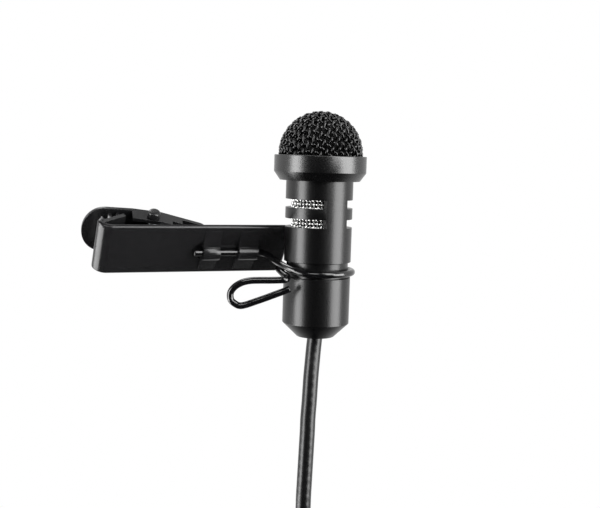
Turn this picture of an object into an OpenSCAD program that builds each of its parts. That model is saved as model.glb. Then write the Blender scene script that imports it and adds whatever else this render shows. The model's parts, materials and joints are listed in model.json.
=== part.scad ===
// Lavalier microphone on a spring tie clip, with its cable and a small three-contact plug.
// The origin is where the clip's teeth meet its jaw. +Z runs up along the microphone's axis,
// and +X runs along the clip, from its mouth to the microphone.

/* [Microphone head] */
// Diameter of the head ring
ring_d = 13.7; // [13.2:0.1:15]
// Height of the head ring's straight band
ring_band_h = 2.45; // [2:0.05:3]
// Height of the bevel under the band
ring_bevel_h = 1.25; // [0.6:0.05:1.6]
// How far that bevel draws in
ring_bevel_in = 0.9; // [0.3:0.05:1.2]
// Diameter of the wire dome
dome_d = 12.5; // [11.6:0.1:12.7]
// Height of the dome above the head ring
dome_h = 6.4; // [6.3:0.1:8]
// Depth that the dome's skirt sits in the ring
dome_seat = 1.15; // [0.8:0.05:1.3]
// Thickness of the wire cloth
dome_t = 0.35; // [0.25:0.05:0.5]
// Thickness of the foam behind the wire cloth
foam_t = 0.9; // [0.5:0.1:1.2]

/* [Microphone body] */
// Diameter of the body tube
body_d = 10; // [9.6:0.1:11]
// Wall of the body tube
body_wall = 0.8; // [0.6:0.05:1]
// Depth of the body's end face below the head ring's top
body_end = 27.05; // [25:0.05:32]
// Height of the bevel at the lower end
end_bevel_h = 2.1; // [1:0.1:3]
// Diameter of the end face
end_face_d = 5.6; // [5:0.1:7]
// Height of a sound slot
slot_h = 1.25; // [0.8:0.05:1.6]
// Distance from one row of slots to the next
slot_pitch = 2.85; // [2.2:0.05:3.4]
// Depth of the first slot's upper edge
slot_top = 6.45; // [6:0.05:7]
// Distance from the axis to the flat floor of a slot
slot_floor = 1.8; // [1.5:0.05:3]
// Depth of the groove's upper edge
groove_top = 15.7; // [14.5:0.05:16.5]
// Width of the groove
groove_w = 2.3; // [1.8:0.05:3]
// Depth of the groove in the wall
groove_in = 0.4; // [0.2:0.05:0.45]
// Diameter of the woven tube behind the slots
screen_d = 8.3; // [7.6:0.1:8.3]

/* [Capsule] */
// Diameter of the capsule
capsule_d = 6; // [5:0.1:6.6]
// Height of the capsule
capsule_h = 3.4; // [2.8:0.1:3.8]
// Length of the circuit board
board_l = 9.5; // [7:0.1:10]
// Thickness of the circuit board
board_t = 0.8; // [0.6:0.1:1]

/* [Clip] */
// Width of the clip's plate
clip_w = 9; // [8.6:0.1:10]
// Length of the plate, from the bend's outside to its free end
clip_l = 29.4; // [28.7:0.1:31]
// Thickness of the clip's sheet
clip_t = 0.65; // [0.5:0.05:0.7]
// How far the clip is rolled about its long axis
clip_roll = 35; // [20:1:40]
// Radius of the plate's corners
corner_r = 0.6; // [0.3:0.1:1]
// Distance from the bend's outside to the hinge pin
pin_u = 8.5; // [8.2:0.1:10]
// Diameter of the hinge pin
pin_d = 0.9; // [0.8:0.05:1]
// Thickness of the jaw's sheet
jaw_t = 0.55; // [0.4:0.05:0.6]
// How far the jaw leans towards the plate at its finger tab
jaw_tilt = 6; // [4:0.5:7]
// Half width of the jaw's round pad
pad_w = 4.05; // [3.9:0.05:4.3]
// Distance from the bend's outside to the finger tab's tip
tab_end = 17; // [15.5:0.1:19]

/* [Wire holder] */
// Diameter of the spring wire
wire_d = 1; // [0.8:0.05:1.1]
// Distance from the wire's straight shank to the microphone's axis
shank_off = 6.5; // [6.3:0.1:7.5]
// Distance from the plate's free end to the microphone's axis
end_gap = 2.4; // [2.4:0.1:3.3]

/* [Cable] */
// Diameter of the cable
cable_d = 2.3; // [2:0.05:2.4]
// Straight length of a run in the folded hank
run_l = 37.5; // [34.5:0.5:46]

/* [Plug] */
// Diameter of the plug's barrel
plug_d = 10; // [9.6:0.1:11]
// Diameter of the plug's nose
nose_d = 8.6; // [8.4:0.05:9]
// Length of the plug's nose
nose_l = 9; // [7:0.1:11]
// Length of the barrel behind the nose
barrel_l = 14.4; // [13:0.1:18]
// Length of the rubber boot outside the nut
boot_l = 9.5; // [7:0.1:14]
// How far the latch button can be pressed
latch_travel = 0.6; // [0.3:0.05:0.6]

/* [Hidden] */

$fn = 64;
fit = 0.02;      // clearance between fixed pieces that seat in each other
running = 0.05;  // radial clearance of a turning fit
slack = 0.1;     // clearance of a piece that is only located
bite = 0.3;      // how far a cut runs past a face, and how far wire stretches run into each other

// The plate's own frame has x along the clip from the bend's outside, y into the clip from
// the plate's front face, and z across its width.
shank_y = -wire_d / 2 - fit;
pin_y = 3.15;
jaw_off = 0.93;                    // from the pin's centre to the jaw's inner face
knuckle_r = jaw_off - 0.08;
bend_r1 = 2.2;                     // wide first part of the bend
bend_a1 = 60;
bend_r2 = 0.95;                    // tight second part
leg_slope = 24;                    // the inner leg runs away from the plate at this angle
bend_x = bend_r1 * sin(bend_a1) + bend_r2 * (1 - sin(bend_a1));
leg_y = bend_r1 * (1 - cos(bend_a1)) + bend_r2 * (cos(bend_a1) + cos(leg_slope));
leg_x = bend_x - bend_r1 * sin(bend_a1) + bend_r2 * sin(bend_a1) - bend_r2 * sin(leg_slope);
leg_end = 4.2;
leg_half = clip_w / 2 - 0.7;       // half width of the leg
tongue_w = 3.4;
tooth_x = [0.95, 2.15, 3.4];       // along the leg
tooth_w = 0.9;
grip_x = tooth_x[2];               // the longest tooth
tooth_tip = jaw_face(grip_x) - 0.06;
tooth_under = [1.06, 0.02, 0];     // how far each tooth ends below that tip
ear = [5.4, 11.4];                 // the jaw's ears, from their front to their back
ear_w = pad_w + 0.05;              // half width over the ears' front
ear_t = 0.55;
shoulder = [9.6, pad_w - 0.25];    // where the taper of the finger tab starts
pin_head = [1, 0.85, 0.95];        // radius at the ear, radius at the end, height
pin_half = jaw_half(pin_u - pin_head[0]) + running;
strap_x = [[15.85, 18.35], [21.35, 24.35]];
strap_reach = 3.4;                 // half length of a strap across the plate
strap_t = 0.6;
window_in = 0.45;                  // a strap's window ends this far inside the strap's edges
hole_r = 1.5;                      // round recess round the wire's end
hole_in = 0.4;                     // its depth
spring_d = 0.3;
spring_r = pin_d / 2 + spring_d / 2 + 0.1;
spring_turns = 1.5;
spring_z = [jaw_half(pin_u) - ear_t - spring_d / 2 - 0.1, tongue_w / 2 + spring_d / 2 + 0.1];
spring_arm = 4;
shank_start = 14.6;
shank_end = clip_l - 5;

// The microphone's frame has its origin at the top of the head ring, on the axis.
mic_x = clip_l + end_gap - grip_x;
mic_y = (shank_y - tooth_tip) * cos(clip_roll) - shank_off;
groove_mid = groove_top + groove_w / 2;
ring_z = -groove_mid - 0.35;       // the wire rests a little below the groove's middle
shank_z = ring_z + 2.15;
mic_z = (shank_y - tooth_tip) * sin(clip_roll) - shank_z;
ring_r = body_d / 2 - groove_in + slack + wire_d / 2;

bore_r = body_d / 2 - body_wall;
upper_r = screen_d / 2 + slack / 2;  // bore from the top down to the woven tube's foot
screen_foot = -slot_top - slot_pitch - slot_h - 0.6;
socket_z = -1.7;                   // shoulder that the body tube stops at
recess_z = -1.2;                   // seat of the dome
lip_r = upper_r + slack;
slot_turn = 12.5;
floor_z = -body_end + 2.05;        // inside floor of the body
hole_d = 3.8;                      // cable hole in the floor
capsule_z = socket_z - 0.1;        // top of the capsule
board_z = -12;                     // upper edge of the circuit board
jacket_z = board_z - board_l - 0.55;
ferrule_h = 2;
flange_h = 0.8;

// The cable's route, from inside the body down to the hank. It starts at the end face's centre.
inner_end = body_end + jacket_z;
route = [[0, 0, inner_end], [0, 0, inner_end / 2], [0, 0, 0], [-0.2, -0.1, -2], [-0.5, -0.5, -4],
    [-0.8, -0.9, -6], [-1, -1.2, -8], [-1.2, -1.5, -10], [-1.4, -1.7, -12], [-1.5, -1.9, -14],
    [-1.6, -2, -16], [-1.7, -2.1, -18], [-1.8, -2.2, -20], [-1.9, -2.3, -22], [-2, -2.4, -24],
    [-2, -2.4, -26], [-2, -2.4, -28]];
hank_top = route[len(route) - 1];

// The hank: loops side by side in four layers, drawn in at the waist
fold_r = 6.9;                      // tightest fold
loop_step = 3.3;                   // from one loop to the next in a layer
layer_step = cable_d + 0.45;
waist_in = 5.2;                    // how far the runs are drawn in at the waist
half_turns = 20;
fold_rings = 7;
run_rings = 5;
layer_turns = 5;                   // half turns in a layer, its climb included
widest = fold_r + layer_turns * loop_step / 2;
hank_drop = widest + cable_d / 2 + 1.5;  // from the hank's top to the upper ends of its runs
tie_h = 8;
tie_t = 1;
tie_r = 4.4;
tie_slack = 0.3;

// The plug, downwards from the top of its boot
nut_l = 8;
boot_seat = 1.5;                   // how far the nut's shoulder lies below its rim
flange_l = 2;
clamp_l = 3.5;
boot_in = boot_l + boot_seat + flange_l + clamp_l;  // how far the cable runs into the plug
shell_top = -boot_l - nut_l - fit;
nose_top = shell_top - barrel_l;
nose_end = nose_top - nose_l;
plug_bore = 3.7;
core_room = 7.5;                   // room for the wires, from the barrel's end to the insert
insert_top = shell_top - core_room;
contact_r = 1.9;
latch_top = shell_top - 4;
latch_l = 5.8;
latch_w = 2.8;
latch_out = 0.6;
latch_boss = 3.5;                  // distance from the plug's axis to the button's inner end
leaf_w = 2.4;

function unit(v) = v / norm(v);
function heading(p, i) = unit(p[min(i + 1, len(p) - 1)] - p[max(i - 1, 0)]);
function across(t) = unit(cross(t, abs(t.z) < 0.9 ? [0, 0, 1] : [1, 0, 0]));
function turned(n, t) = unit(n - (n * t) * t);
function frames(p) = [for (i = 0, n = across(heading(p, 0)); i < len(p);
    i = i + 1, n = i < len(p) ? turned(n, heading(p, i)) : n) n];
function along(p, i = 0) = i > len(p) - 2 ? 0 : norm(p[i + 1] - p[i]) + along(p, i + 1);
function jaw_face(x) = pin_y + jaw_off / cos(jaw_tilt) - (x - pin_u) * tan(jaw_tilt);
function jaw_half(x) = ear_w + (shoulder[1] - ear_w) * (x - ear[0]) / (shoulder[0] - ear[0]);
function polar(r, a, z) = [r * cos(a), r * sin(a), z];
function smooth(t) = t * t * (3 - 2 * t);
// Catmull-Rom curve through points, in n steps from each to the next
function curve(p, n) = [for (i = [0:len(p) - 2], k = [0:n - 1])
    let (t = k / n, a = p[max(i - 1, 0)], b = p[i], c = p[i + 1], d = p[min(i + 2, len(p) - 1)])
    b + t / 2 * ((c - a) + t * ((2 * a - 5 * b + 4 * c - d) + t * (3 * b - a - 3 * c + d))),
    p[len(p) - 1]];

// A closed tube along points
module tube(p, d, sides) {
    n = frames(p);
    last = len(p) - 1;
    rings = [for (i = [0:last], k = [0:sides - 1])
        let (a = 360 * k / sides)
        p[i] + d / 2 * (cos(a) * n[i] + sin(a) * cross(heading(p, i), n[i]))];
    walls = [for (i = [0:last - 1], k = [0:sides - 1])
        let (a = i * sides + k, b = i * sides + (k + 1) % sides)
        each [[a, a + sides, b + sides], [a, b + sides, b]]];
    caps = [for (k = [1:sides - 2])
        each [[0, k, k + 1], [last * sides, last * sides + k + 1, last * sides + k]]];
    polyhedron(rings, concat(walls, caps));
}

module on_clip() {
    rotate([clip_roll, 0, 0]) translate([-grip_x, -tooth_tip, 0]) children();
}

// The jaw's frame has its origin on the pin and its inner face at y = jaw_off
module on_jaw() {
    on_clip() translate([pin_u, pin_y, 0]) rotate([0, 0, -jaw_tilt]) children();
}

module on_mic() {
    translate([mic_x, mic_y, mic_z]) children();
}

module on_exit() {
    on_mic() translate([0, 0, -body_end]) children();
}

module on_plug() {
    on_exit() translate(plug_at) children();
}

// A cylinder from z = a down to z = b
module rod(r, a, b) {
    translate([0, 0, b]) cylinder(r = r, h = a - b);
}

// A tube from z = a down to z = b
module pipe(r_out, r_in, a, b) {
    difference() {
        rod(r_out, a, b);
        rod(r_in, a + bite, b - bite);
    }
}

// Half of a dome's section, from its skirt to its pole
module dome_half(r, top, t) {
    centre = top - r;
    intersection() {
        difference() {
            union() {
                translate([0, centre]) circle(r);
                translate([0, -dome_seat]) square([r, centre + dome_seat]);
            }
            translate([0, centre]) circle(r - t);
            translate([-bite, -dome_seat - bite]) square([r - t + bite, centre + dome_seat + bite]);
        }
        translate([0, -dome_seat]) square([r, top + dome_seat]);
    }
}

module grille_dome() {
    color("#1c1c1d") on_mic() rotate_extrude() dome_half(dome_d / 2, dome_h, dome_t);
}

module grille_foam() {
    r = dome_d / 2 - dome_t - slack / 2;
    color("#101010") on_mic() rotate_extrude() dome_half(r, dome_h - dome_t - slack / 2, foam_t);
}

module head_ring() {
    r = ring_d / 2;
    under = -ring_band_h - ring_bevel_h;
    color("#242425") on_mic() difference() {
        union() {
            rod(r, 0, -ring_band_h);
            translate([0, 0, under])
                cylinder(r1 = r - ring_bevel_in, r2 = r, h = ring_bevel_h);
        }
        rod(dome_d / 2 + slack / 2, bite, recess_z);
        rod(lip_r, bite, under - bite);
        rod(body_d / 2 + fit, socket_z, under - bite);
    }
}

// Two opposed saw cuts at one height
module slot_pair(z) {
    for (side = [0, 180])
        rotate([0, 0, slot_turn + side]) translate([slot_floor, -body_d, z - slot_h])
            cube([body_d, 2 * body_d, slot_h]);
}

module body_tube() {
    r = body_d / 2;
    color("#242425") on_mic() difference() {
        union() {
            rod(r, socket_z - fit, end_bevel_h - body_end);
            translate([0, 0, -body_end])
                cylinder(r1 = end_face_d / 2, r2 = r, h = end_bevel_h);
        }
        rod(bore_r, 0, floor_z);
        rod(upper_r, 0, screen_foot);
        rod(hole_d / 2, floor_z + bite, -body_end - bite);
        slot_pair(-slot_top);
        slot_pair(-slot_top - slot_pitch);
        pipe(r + bite, r - groove_in, -groove_top, -groove_top - groove_w);
    }
}

module port_screen() {
    color("#c8c8c6") on_mic() pipe(screen_d / 2, screen_d / 2 - 0.15, -slot_top + 0.6, screen_foot);
}

module capsule_can() {
    wall = 0.2;
    color("#b9bbbd") on_mic() difference() {
        rod(capsule_d / 2, capsule_z, capsule_z - capsule_h);
        rod(capsule_d / 2 - wall, capsule_z - wall, capsule_z - capsule_h - bite);
        rod(0.8, capsule_z + bite, capsule_z - 2 * wall);
    }
}

module capsule_felt() {
    color("#161616") on_mic() rod(capsule_d / 2 - 0.3, capsule_z + 0.3, capsule_z);
}

module capsule_board() {
    z = capsule_z - capsule_h;
    color("#1f5a35") on_mic() rod(capsule_d / 2 - 0.2 - fit, z + 0.6, z);
}

module capsule_boot() {
    z = capsule_z - capsule_h;
    color("#2a2a2a") on_mic() difference() {
        rod(upper_r - fit, capsule_z, z - 0.3);
        rod(capsule_d / 2 + fit, capsule_z + bite, z);
        rod(capsule_d / 2 - 0.5, z + bite, z - 1);
    }
}

module capsule_leads() {
    r = 0.25;
    color("#b33a2e") on_mic() for (x = [-1.1, 1.1])
        translate([x, board_t / 2 + r, 0]) rod(r, capsule_z - capsule_h, board_z - 1.4);
}

module preamp_board() {
    half = bore_r - slack;
    color("#1f5a35") on_mic() translate([-half, -board_t / 2, board_z - board_l])
        cube([2 * half, board_t, board_l]);
}

module board_parts() {
    // Each is [width, height, length, x, distance down the board]
    chips = [[2.9, 1.1, 1.5, 0, 3.2], [0.8, 0.8, 1.6, -2, 3.4], [1.2, 0.9, 2, 2.2, 3]];
    color("#2b2b2e") on_mic() for (c = chips)
        translate([c[3] - c[0] / 2, board_t / 2, board_z - c[4] - c[2]])
            cube([c[0], c[1], c[2]]);
}

module cable_cores() {
    r = 0.28;
    color("#c9c2b0") on_mic() for (x = [-0.4, 0.4])
        translate([x, board_t / 2 + r, 0]) rod(r, board_z - board_l + 2, jacket_z);
}

module cable_ferrule() {
    z = floor_z + flange_h;
    color("#a9abad") on_mic() pipe(cable_d / 2 + 0.7, cable_d / 2 + running, z + ferrule_h, z);
}

module cable_grommet() {
    color("#171717") on_mic() difference() {
        union() {
            rod(hole_d / 2 - fit, floor_z + fit, -body_end + 0.05);
            rod(hole_d / 2 + 0.8, floor_z + flange_h, floor_z + fit);
        }
        rod(cable_d / 2 + running, 0, -body_end - bite);
    }
}

// Section of the bend and its inner leg, with y into the clip
module bend_section() {
    c1 = [bend_x, bend_r1];
    c2 = c1 + (bend_r1 - bend_r2) * [-sin(bend_a1), -cos(bend_a1)];
    steps = 10;
    turn = 180 - leg_slope;
    leg = [leg_end, leg_y + (leg_end - leg_x) * tan(leg_slope)];
    out = [for (k = [0:steps]) let (a = bend_a1 * k / steps)
            c1 + bend_r1 * [-sin(a), -cos(a)],
        for (k = [1:steps]) let (a = bend_a1 + (turn - bend_a1) * k / steps)
            c2 + bend_r2 * [-sin(a), -cos(a)]];
    in = [for (k = [steps:-1:1]) let (a = bend_a1 + (turn - bend_a1) * k / steps)
            c2 + (bend_r2 - clip_t) * [-sin(a), -cos(a)],
        for (k = [steps:-1:0]) let (a = bend_a1 * k / steps)
            c1 + (bend_r1 - clip_t) * [-sin(a), -cos(a)]];
    near = leg + clip_t * [sin(leg_slope), -cos(leg_slope)];
    polygon(concat([[bend_x + bite, 0]], out, [leg, near], in, [[bend_x + bite, clip_t]]));
}

function leg_at(x) = leg_y + (x - leg_x) * tan(leg_slope);

// A tooth that stands across the leg, up to a tip
module tooth(x, tip) {
    base = leg_at(x) - 0.25;
    polygon([[x - tooth_w / 2, base - 0.1], [x + tooth_w / 2, base + 0.1], [x + 0.08, tip],
        [x - 0.08, tip]]);
}

// A strap pressed out of the plate, which holds the wire's shank
module strap(from, to) {
    r = wire_d / 2 + running;
    over = r + strap_t;
    translate([from, 0, 0]) rotate([90, 0, 90]) linear_extrude(to - from) difference() {
        union() {
            translate([shank_y, 0]) circle(over);
            for (m = [0, 1]) mirror([0, m])
                polygon([[-0.05, strap_reach + bite], [clip_t, strap_reach + bite],
                    [clip_t, strap_reach - 0.5], [-0.25, r + 0.1], [shank_y, over - 0.3],
                    [shank_y - 0.1, over - 0.05]]);
        }
        translate([shank_y, 0]) circle(r);
        translate([shank_y, -r]) square([2, 2 * r]);
    }
}

module clip_plate() {
    half = clip_w / 2;
    tongue_t = clip_t * 0.9;
    color("#141415") on_clip() difference() {
        union() {
            // Bend, inner leg and teeth
            difference() {
                translate([0, 0, -half]) linear_extrude(clip_w) bend_section();
                for (m = [0, 1]) mirror([0, 0, m]) translate([0.9, clip_t + 0.4, leg_half])
                    cube([leg_end, 2 * leg_end, half]);
            }
            translate([0, 0, 0.1 - leg_half]) linear_extrude(2 * leg_half - 0.2)
                for (i = [0:2]) tooth(tooth_x[i], tooth_tip - tooth_under[i]);
            // Front plate with its windows and the recess for the wire's end
            difference() {
                translate([bend_x, 0, -half])
                    cube([clip_l - bend_x - corner_r, clip_t, clip_w]);
                for (s = strap_x) translate([s[0] + window_in, -bite, -strap_reach])
                    cube([s[1] - s[0] - 2 * window_in, clip_t + 2 * bite, 2 * strap_reach]);
                translate([strap_x[0][0], hole_in, 0]) rotate([90, 0, 0])
                    cylinder(r = hole_r, h = hole_in + bite);
            }
            translate([clip_l - 2 * corner_r, 0, -half + corner_r])
                cube([2 * corner_r, clip_t, clip_w - 2 * corner_r]);
            for (z = [-half + corner_r, half - corner_r])
                translate([clip_l - corner_r, clip_t, z]) rotate([90, 0, 0])
                    cylinder(r = corner_r, h = clip_t);
            for (s = strap_x) strap(s[0], s[1]);
            // Tongue and knuckle
            translate([leg_end - bite, pin_y + knuckle_r - tongue_t, -tongue_w / 2])
                cube([pin_u - leg_end + bite, tongue_t, tongue_w]);
            translate([pin_u, pin_y, -tongue_w / 2]) cylinder(r = knuckle_r, h = tongue_w);
        }
        translate([pin_u, pin_y, -tongue_w]) cylinder(r = pin_d / 2 + fit, h = 2 * tongue_w);
    }
}

module hinge_pin() {
    color("#3a3a3c") on_clip() translate([pin_u, pin_y, 0]) {
        translate([0, 0, -pin_half - bite]) cylinder(d = pin_d, h = 2 * (pin_half + bite));
        for (m = [0, 1]) mirror([0, 0, m]) translate([0, 0, pin_half])
            cylinder(r1 = pin_head[0], r2 = pin_head[1], h = pin_head[2]);
    }
}

// The spring's wire: an arm along the plate, the coil, and an arm along the jaw
function spring_path() = let (n = 8 * spring_turns, z = spring_z)
    [[pin_u + spring_arm, clip_t + spring_d / 2 + fit, z[0]],
        [pin_u + spring_arm - 1, clip_t + spring_d / 2 + 0.15, z[0]],
        for (k = [0:n]) let (a = -90 - 45 * k)
            [pin_u + spring_r * cos(a), pin_y + spring_r * sin(a), z[0] + (z[1] - z[0]) * k / n],
        for (x = [pin_u + spring_arm - 1, pin_u + spring_arm])
            [x, jaw_face(x) - spring_d / 2 - 0.06, z[1]]];

module clip_spring() {
    color("#8d8f92") on_clip() tube(spring_path(), spring_d, 6);
}

// Outline of the jaw: a round pad, ears and a tapering finger tab, with x = 0 on the pin
module jaw_outline(in = 0) {
    pad_x = 1.55;
    pad_l = 3.15;
    tab_w = 2.3;
    tip_r = 1.4;
    translate([-pin_u, 0]) polygon(concat(
        [for (a = [90:7.5:270]) [pad_x + (pad_l - in) * cos(a), (pad_w - in) * sin(a)]],
        [[ear[0], in - ear_w], [shoulder[0], in - shoulder[1]]],
        [for (side = [-1, 1], a = [-75:15:0]) let (turn = side < 0 ? a : a + 75)
            [tab_end - tip_r + (tip_r - in) * cos(turn),
                side * (tab_w - tip_r) + (tip_r - in) * sin(turn)]],
        [[shoulder[0], shoulder[1] - in], [ear[0], ear_w - in]]));
}

// The jaw's turned-down edge from x = from to x = to, down to y = low
module jaw_edge(from, to, low) {
    translate([0, jaw_off + 0.1, 0]) rotate([90, 0, 0]) linear_extrude(jaw_off + 0.1 - low)
        intersection() {
            difference() {
                jaw_outline();
                jaw_outline(ear_t);
            }
            translate([from - pin_u, -clip_w]) square([to - from, 2 * clip_w]);
        }
}

module jaw_lever() {
    color("#161617") on_jaw() difference() {
        union() {
            translate([0, jaw_off + jaw_t, 0]) rotate([90, 0, 0]) linear_extrude(jaw_t)
                jaw_outline();
            // Ears, and the flanges that stiffen the tab
            jaw_edge(ear[0], ear[1], -knuckle_r);
            jaw_edge(ear[1] - bite, tab_end - 4, 0);
        }
        translate([0, 0, -clip_w]) cylinder(r = pin_d / 2 + running, h = 2 * clip_w);
    }
}

// Places of the holder's wire round the microphone's axis, as [beyond the ring, angle, above it]
strand = [[3.23, 138.4, 1.95], [2.24, 143.7, 1.73], [1.42, 153, 1.48], [0.84, 165.6, 1.27],
    [0.55, 180, 1.04], [0.4, 193.4, 0.76], [0.21, 206.3, 0.48], [0.05, 217, 0.24],
    [0, 228, 0.08], [0, 238, 0]];
tail = [[0, 105, 0], [0.03, 118, 0.05], [0.3, 135, 0.18], [0.5, 152, 0.2], [0.6, 167, 0.16],
    [0.62, 181, 0], [0.62, 191, -0.3], [0.66, 200, -0.55]];
// The finger loop, on from the tail, as [beyond the ring's left side, y, above the ring]
loop = [[0.55, -2.55, -0.8], [0.9, -2.9, -0.87], [1.4, -2.9, -0.91], [3, -2.3, -1],
    [4.3, -1.75, -1.05], [5.7, -1.2, -1.15], [6.8, -0.8, -1.45], [7.7, -0.4, -2.05],
    [8.25, -0.2, -2.8], [8.35, -0.15, -3.45], [8.2, -0.25, -4.1], [7.65, -0.45, -4.6],
    [7.05, -0.7, -4.85], [6.25, -1, -4.7], [5, -1.5, -4.2], [3.65, -2, -3.65],
    [2.3, -2.55, -3.05], [1.25, -2.95, -2.6], [0.4, -3.3, -2.2]];

module mic_holder() {
    over = 3;                      // degrees that the ring runs into the wire at each end
    ring_from = strand[len(strand) - 1][1] - over;
    ring_to = 360 + tail[0][1] + over;
    start_x = shank_end - clip_l - end_gap;
    places = [for (q = strand) polar(ring_r + q[0], q[1], ring_z + q[2])];
    ends = [for (q = tail) polar(ring_r + q[0], q[1], ring_z + q[2])];
    bow = [for (q = loop) [-ring_r - q.x, q.y, ring_z + q.z]];
    color("#0c0c0d") on_mic() {
        translate([shank_start - clip_l - end_gap, shank_off, shank_z]) rotate([0, 90, 0])
            cylinder(d = wire_d, h = shank_end - shank_start + bite);
        tube(curve(concat([[start_x, shank_off, shank_z], [start_x + 0.5, shank_off - 0.1, shank_z]],
            places), 3), wire_d, 12);
        translate([0, 0, ring_z]) rotate([0, 0, ring_from])
            rotate_extrude(angle = ring_to - ring_from) translate([ring_r, 0])
                circle(d = wire_d, $fn = 32);
        tube(curve(concat(ends, bow), 2), wire_d, 12);
    }
}

module cable() {
    every_second = [for (i = [0:2:len(route) - 1]) route[i]];
    color("#151516") on_exit() tube(every_second, cable_d, 8);
}

// Half width of the loop at a count of half turns: it widens and narrows at a steady rate
function loop_r(s) = let (q = s / layer_turns, up = q - 2 * floor(q / 2))
    fold_r + layer_turns * loop_step / 2 * (up < 1 ? up : 2 - up);
// Layer at a count of half turns: it climbs along the last run of each layer
function layer_at(s) = let (f = s / layer_turns, from = 1 - run_rings / 12 / layer_turns)
    floor(f) + 1 + smooth(max(0, (f - floor(f) - from) / (1 - from)));
function drawn(t) = waist_in * pow(sin(180 * t), 2);
// A point of half turn h, at ring j: first the fold, then the run
function hank_point(h, j) = let (s = h + j / 12, r = loop_r(s), down = h % 2 == 0 ? 1 : -1,
    t = max(0, (j - fold_rings) / run_rings), a = 180 * min(j, fold_rings) / fold_rings)
    [hank_x - down * (t > 0 ? drawn(t) - r : r * cos(a)), hank_y - layer_step * layer_at(s),
        hank_z + down * (t > 0 ? (t - 0.5) * run_l : -run_l / 2 - r * sin(a))];

hank_x = hank_top.x + fold_r - waist_in;
hank_y = hank_top.y;
hank_z = hank_top.z - hank_drop - run_l / 2;
last_point = hank_point(half_turns - 1, fold_rings + run_rings / 2);
hank_end = [last_point.x, hank_y - layer_step * (1 + half_turns / layer_turns), hank_z];
plug_at = [hank_end.x, hank_end.y, hank_z - run_l / 2 - hank_drop];

// The hank's centreline, from the free cable's end to inside the plug
function hank_path() = concat(
    [hank_top, hank_top - [0, 0, cable_d], hank_top - [0, 0, hank_drop],
        [hank_top.x, hank_y, hank_z + run_l / 8]],
    [for (k = [0:3]) let (t = 0.5 + k / 6, u = min(t, 1))
        [hank_x + drawn(u) - fold_r, hank_y - layer_step * smooth((u - 0.5) * 2),
            hank_z + (0.5 - u) * run_l]],
    [for (h = [0:half_turns - 2], j = [(h == 0 ? 1 : 0):11]) hank_point(h, j)],
    [for (j = [0:fold_rings + 2]) hank_point(half_turns - 1, j)],
    [hank_end - [0, 0, run_l / 8], hank_end - [0, 0, run_l / 2],
        [plug_at.x, plug_at.y, plug_at.z + cable_d], plug_at - [0, 0, boot_in]]);

// Least gap between stretches of the hank that aren't neighbours
function finer(p) = [for (i = [0:len(p) - 2]) each [p[i], (p[i] + p[i + 1]) / 2]];
function least_gap(p, apart, d) = min([for (i = [0:len(p) - 1 - apart], j = [i + apart:len(p) - 1])
    norm(p[i] - p[j])]) - d;

echo(cable_length_mm = along(route) + along(hank_path()), hank_rings = len(hank_path()),
    hank_gap_mm = least_gap(finer(hank_path()), 12, cable_d),
    spring_gap_mm = least_gap(finer(spring_path()), 10, spring_d));

module cable_hank() {
    color("#151516") on_exit() tube(hank_path(), cable_d, 6);
}

// A rectangle about the origin with round corners
module rounded(w, d, r) {
    square([w, d - 2 * r], center = true);
    square([w - 2 * r, d], center = true);
    for (x = [r - w / 2, w / 2 - r], y = [r - d / 2, d / 2 - r]) translate([x, y]) circle(r);
}

module hank_tie() {
    w = 2 * (widest - drawn(0.5 - tie_h / 2 / run_l) + cable_d / 2 + tie_slack);
    d = hank_y - hank_end.y + cable_d + 2 * tie_slack;
    color("#2c2c2e") on_exit()
        translate([hank_x, (hank_y + hank_end.y) / 2, hank_z - tie_h / 2]) difference() {
            linear_extrude(tie_h) rounded(w + 2 * tie_t, d + 2 * tie_t, tie_r + tie_t);
            translate([0, 0, -bite]) linear_extrude(tie_h + 2 * bite) rounded(w, d, tie_r);
        }
}

module plug_boot() {
    wide = 3.3;
    seat = -boot_l - boot_seat;
    color("#1b1b1b") on_plug() difference() {
        union() {
            translate([0, 0, seat]) cylinder(r1 = wide, r2 = cable_d / 2 + 0.6, h = -seat);
            rod(plug_bore + 0.2, seat, seat - flange_l);
        }
        rod(cable_d / 2 + running, bite, -2 * boot_l);
    }
}

module plug_nut() {
    r = plug_d / 2 - 0.2;
    inner = plug_bore + 0.25;
    color("#2e2f31") on_plug() difference() {
        union() {
            rod(r, -boot_l - 1, -boot_l - nut_l);
            translate([0, 0, -boot_l - 1]) cylinder(r1 = r, r2 = r - 0.8, h = 1);
        }
        rod(3.4, 0, -boot_l - nut_l - bite);
        rod(inner, -boot_l - boot_seat + fit, -boot_l - nut_l - bite);
        for (a = [0:20:340]) rotate([0, 0, a]) translate([r, 0, 0])
            rod(0.3, -boot_l - 2, -boot_l - nut_l + 1.2);
    }
}

module plug_clamp() {
    z = -boot_l - boot_seat - flange_l - fit;
    color("#b0b2b4") on_plug() difference() {
        pipe(plug_bore + 0.2, cable_d / 2 + running, z, z - clamp_l);
        translate([0, -0.3, z - clamp_l - bite]) cube([plug_d, 0.6, clamp_l + 2 * bite]);
    }
}

module plug_shell() {
    r = plug_d / 2;
    spigot = 0.9;
    color("#2e2f31") on_plug() difference() {
        union() {
            rod(r, shell_top, nose_top);
            rod(nose_d / 2, nose_top + bite, nose_end);
            rod(plug_bore + 0.2, shell_top + spigot, shell_top - bite);
        }
        rod(plug_bore, shell_top - 1, nose_end - bite);
        rod(plug_bore - 0.4, shell_top + spigot + bite, shell_top - 2);
        translate([-latch_w / 2 - slack, -plug_d, latch_top - latch_l - slack])
            cube([latch_w + 2 * slack, plug_d, latch_l + 2 * slack]);
    }
}

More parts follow.
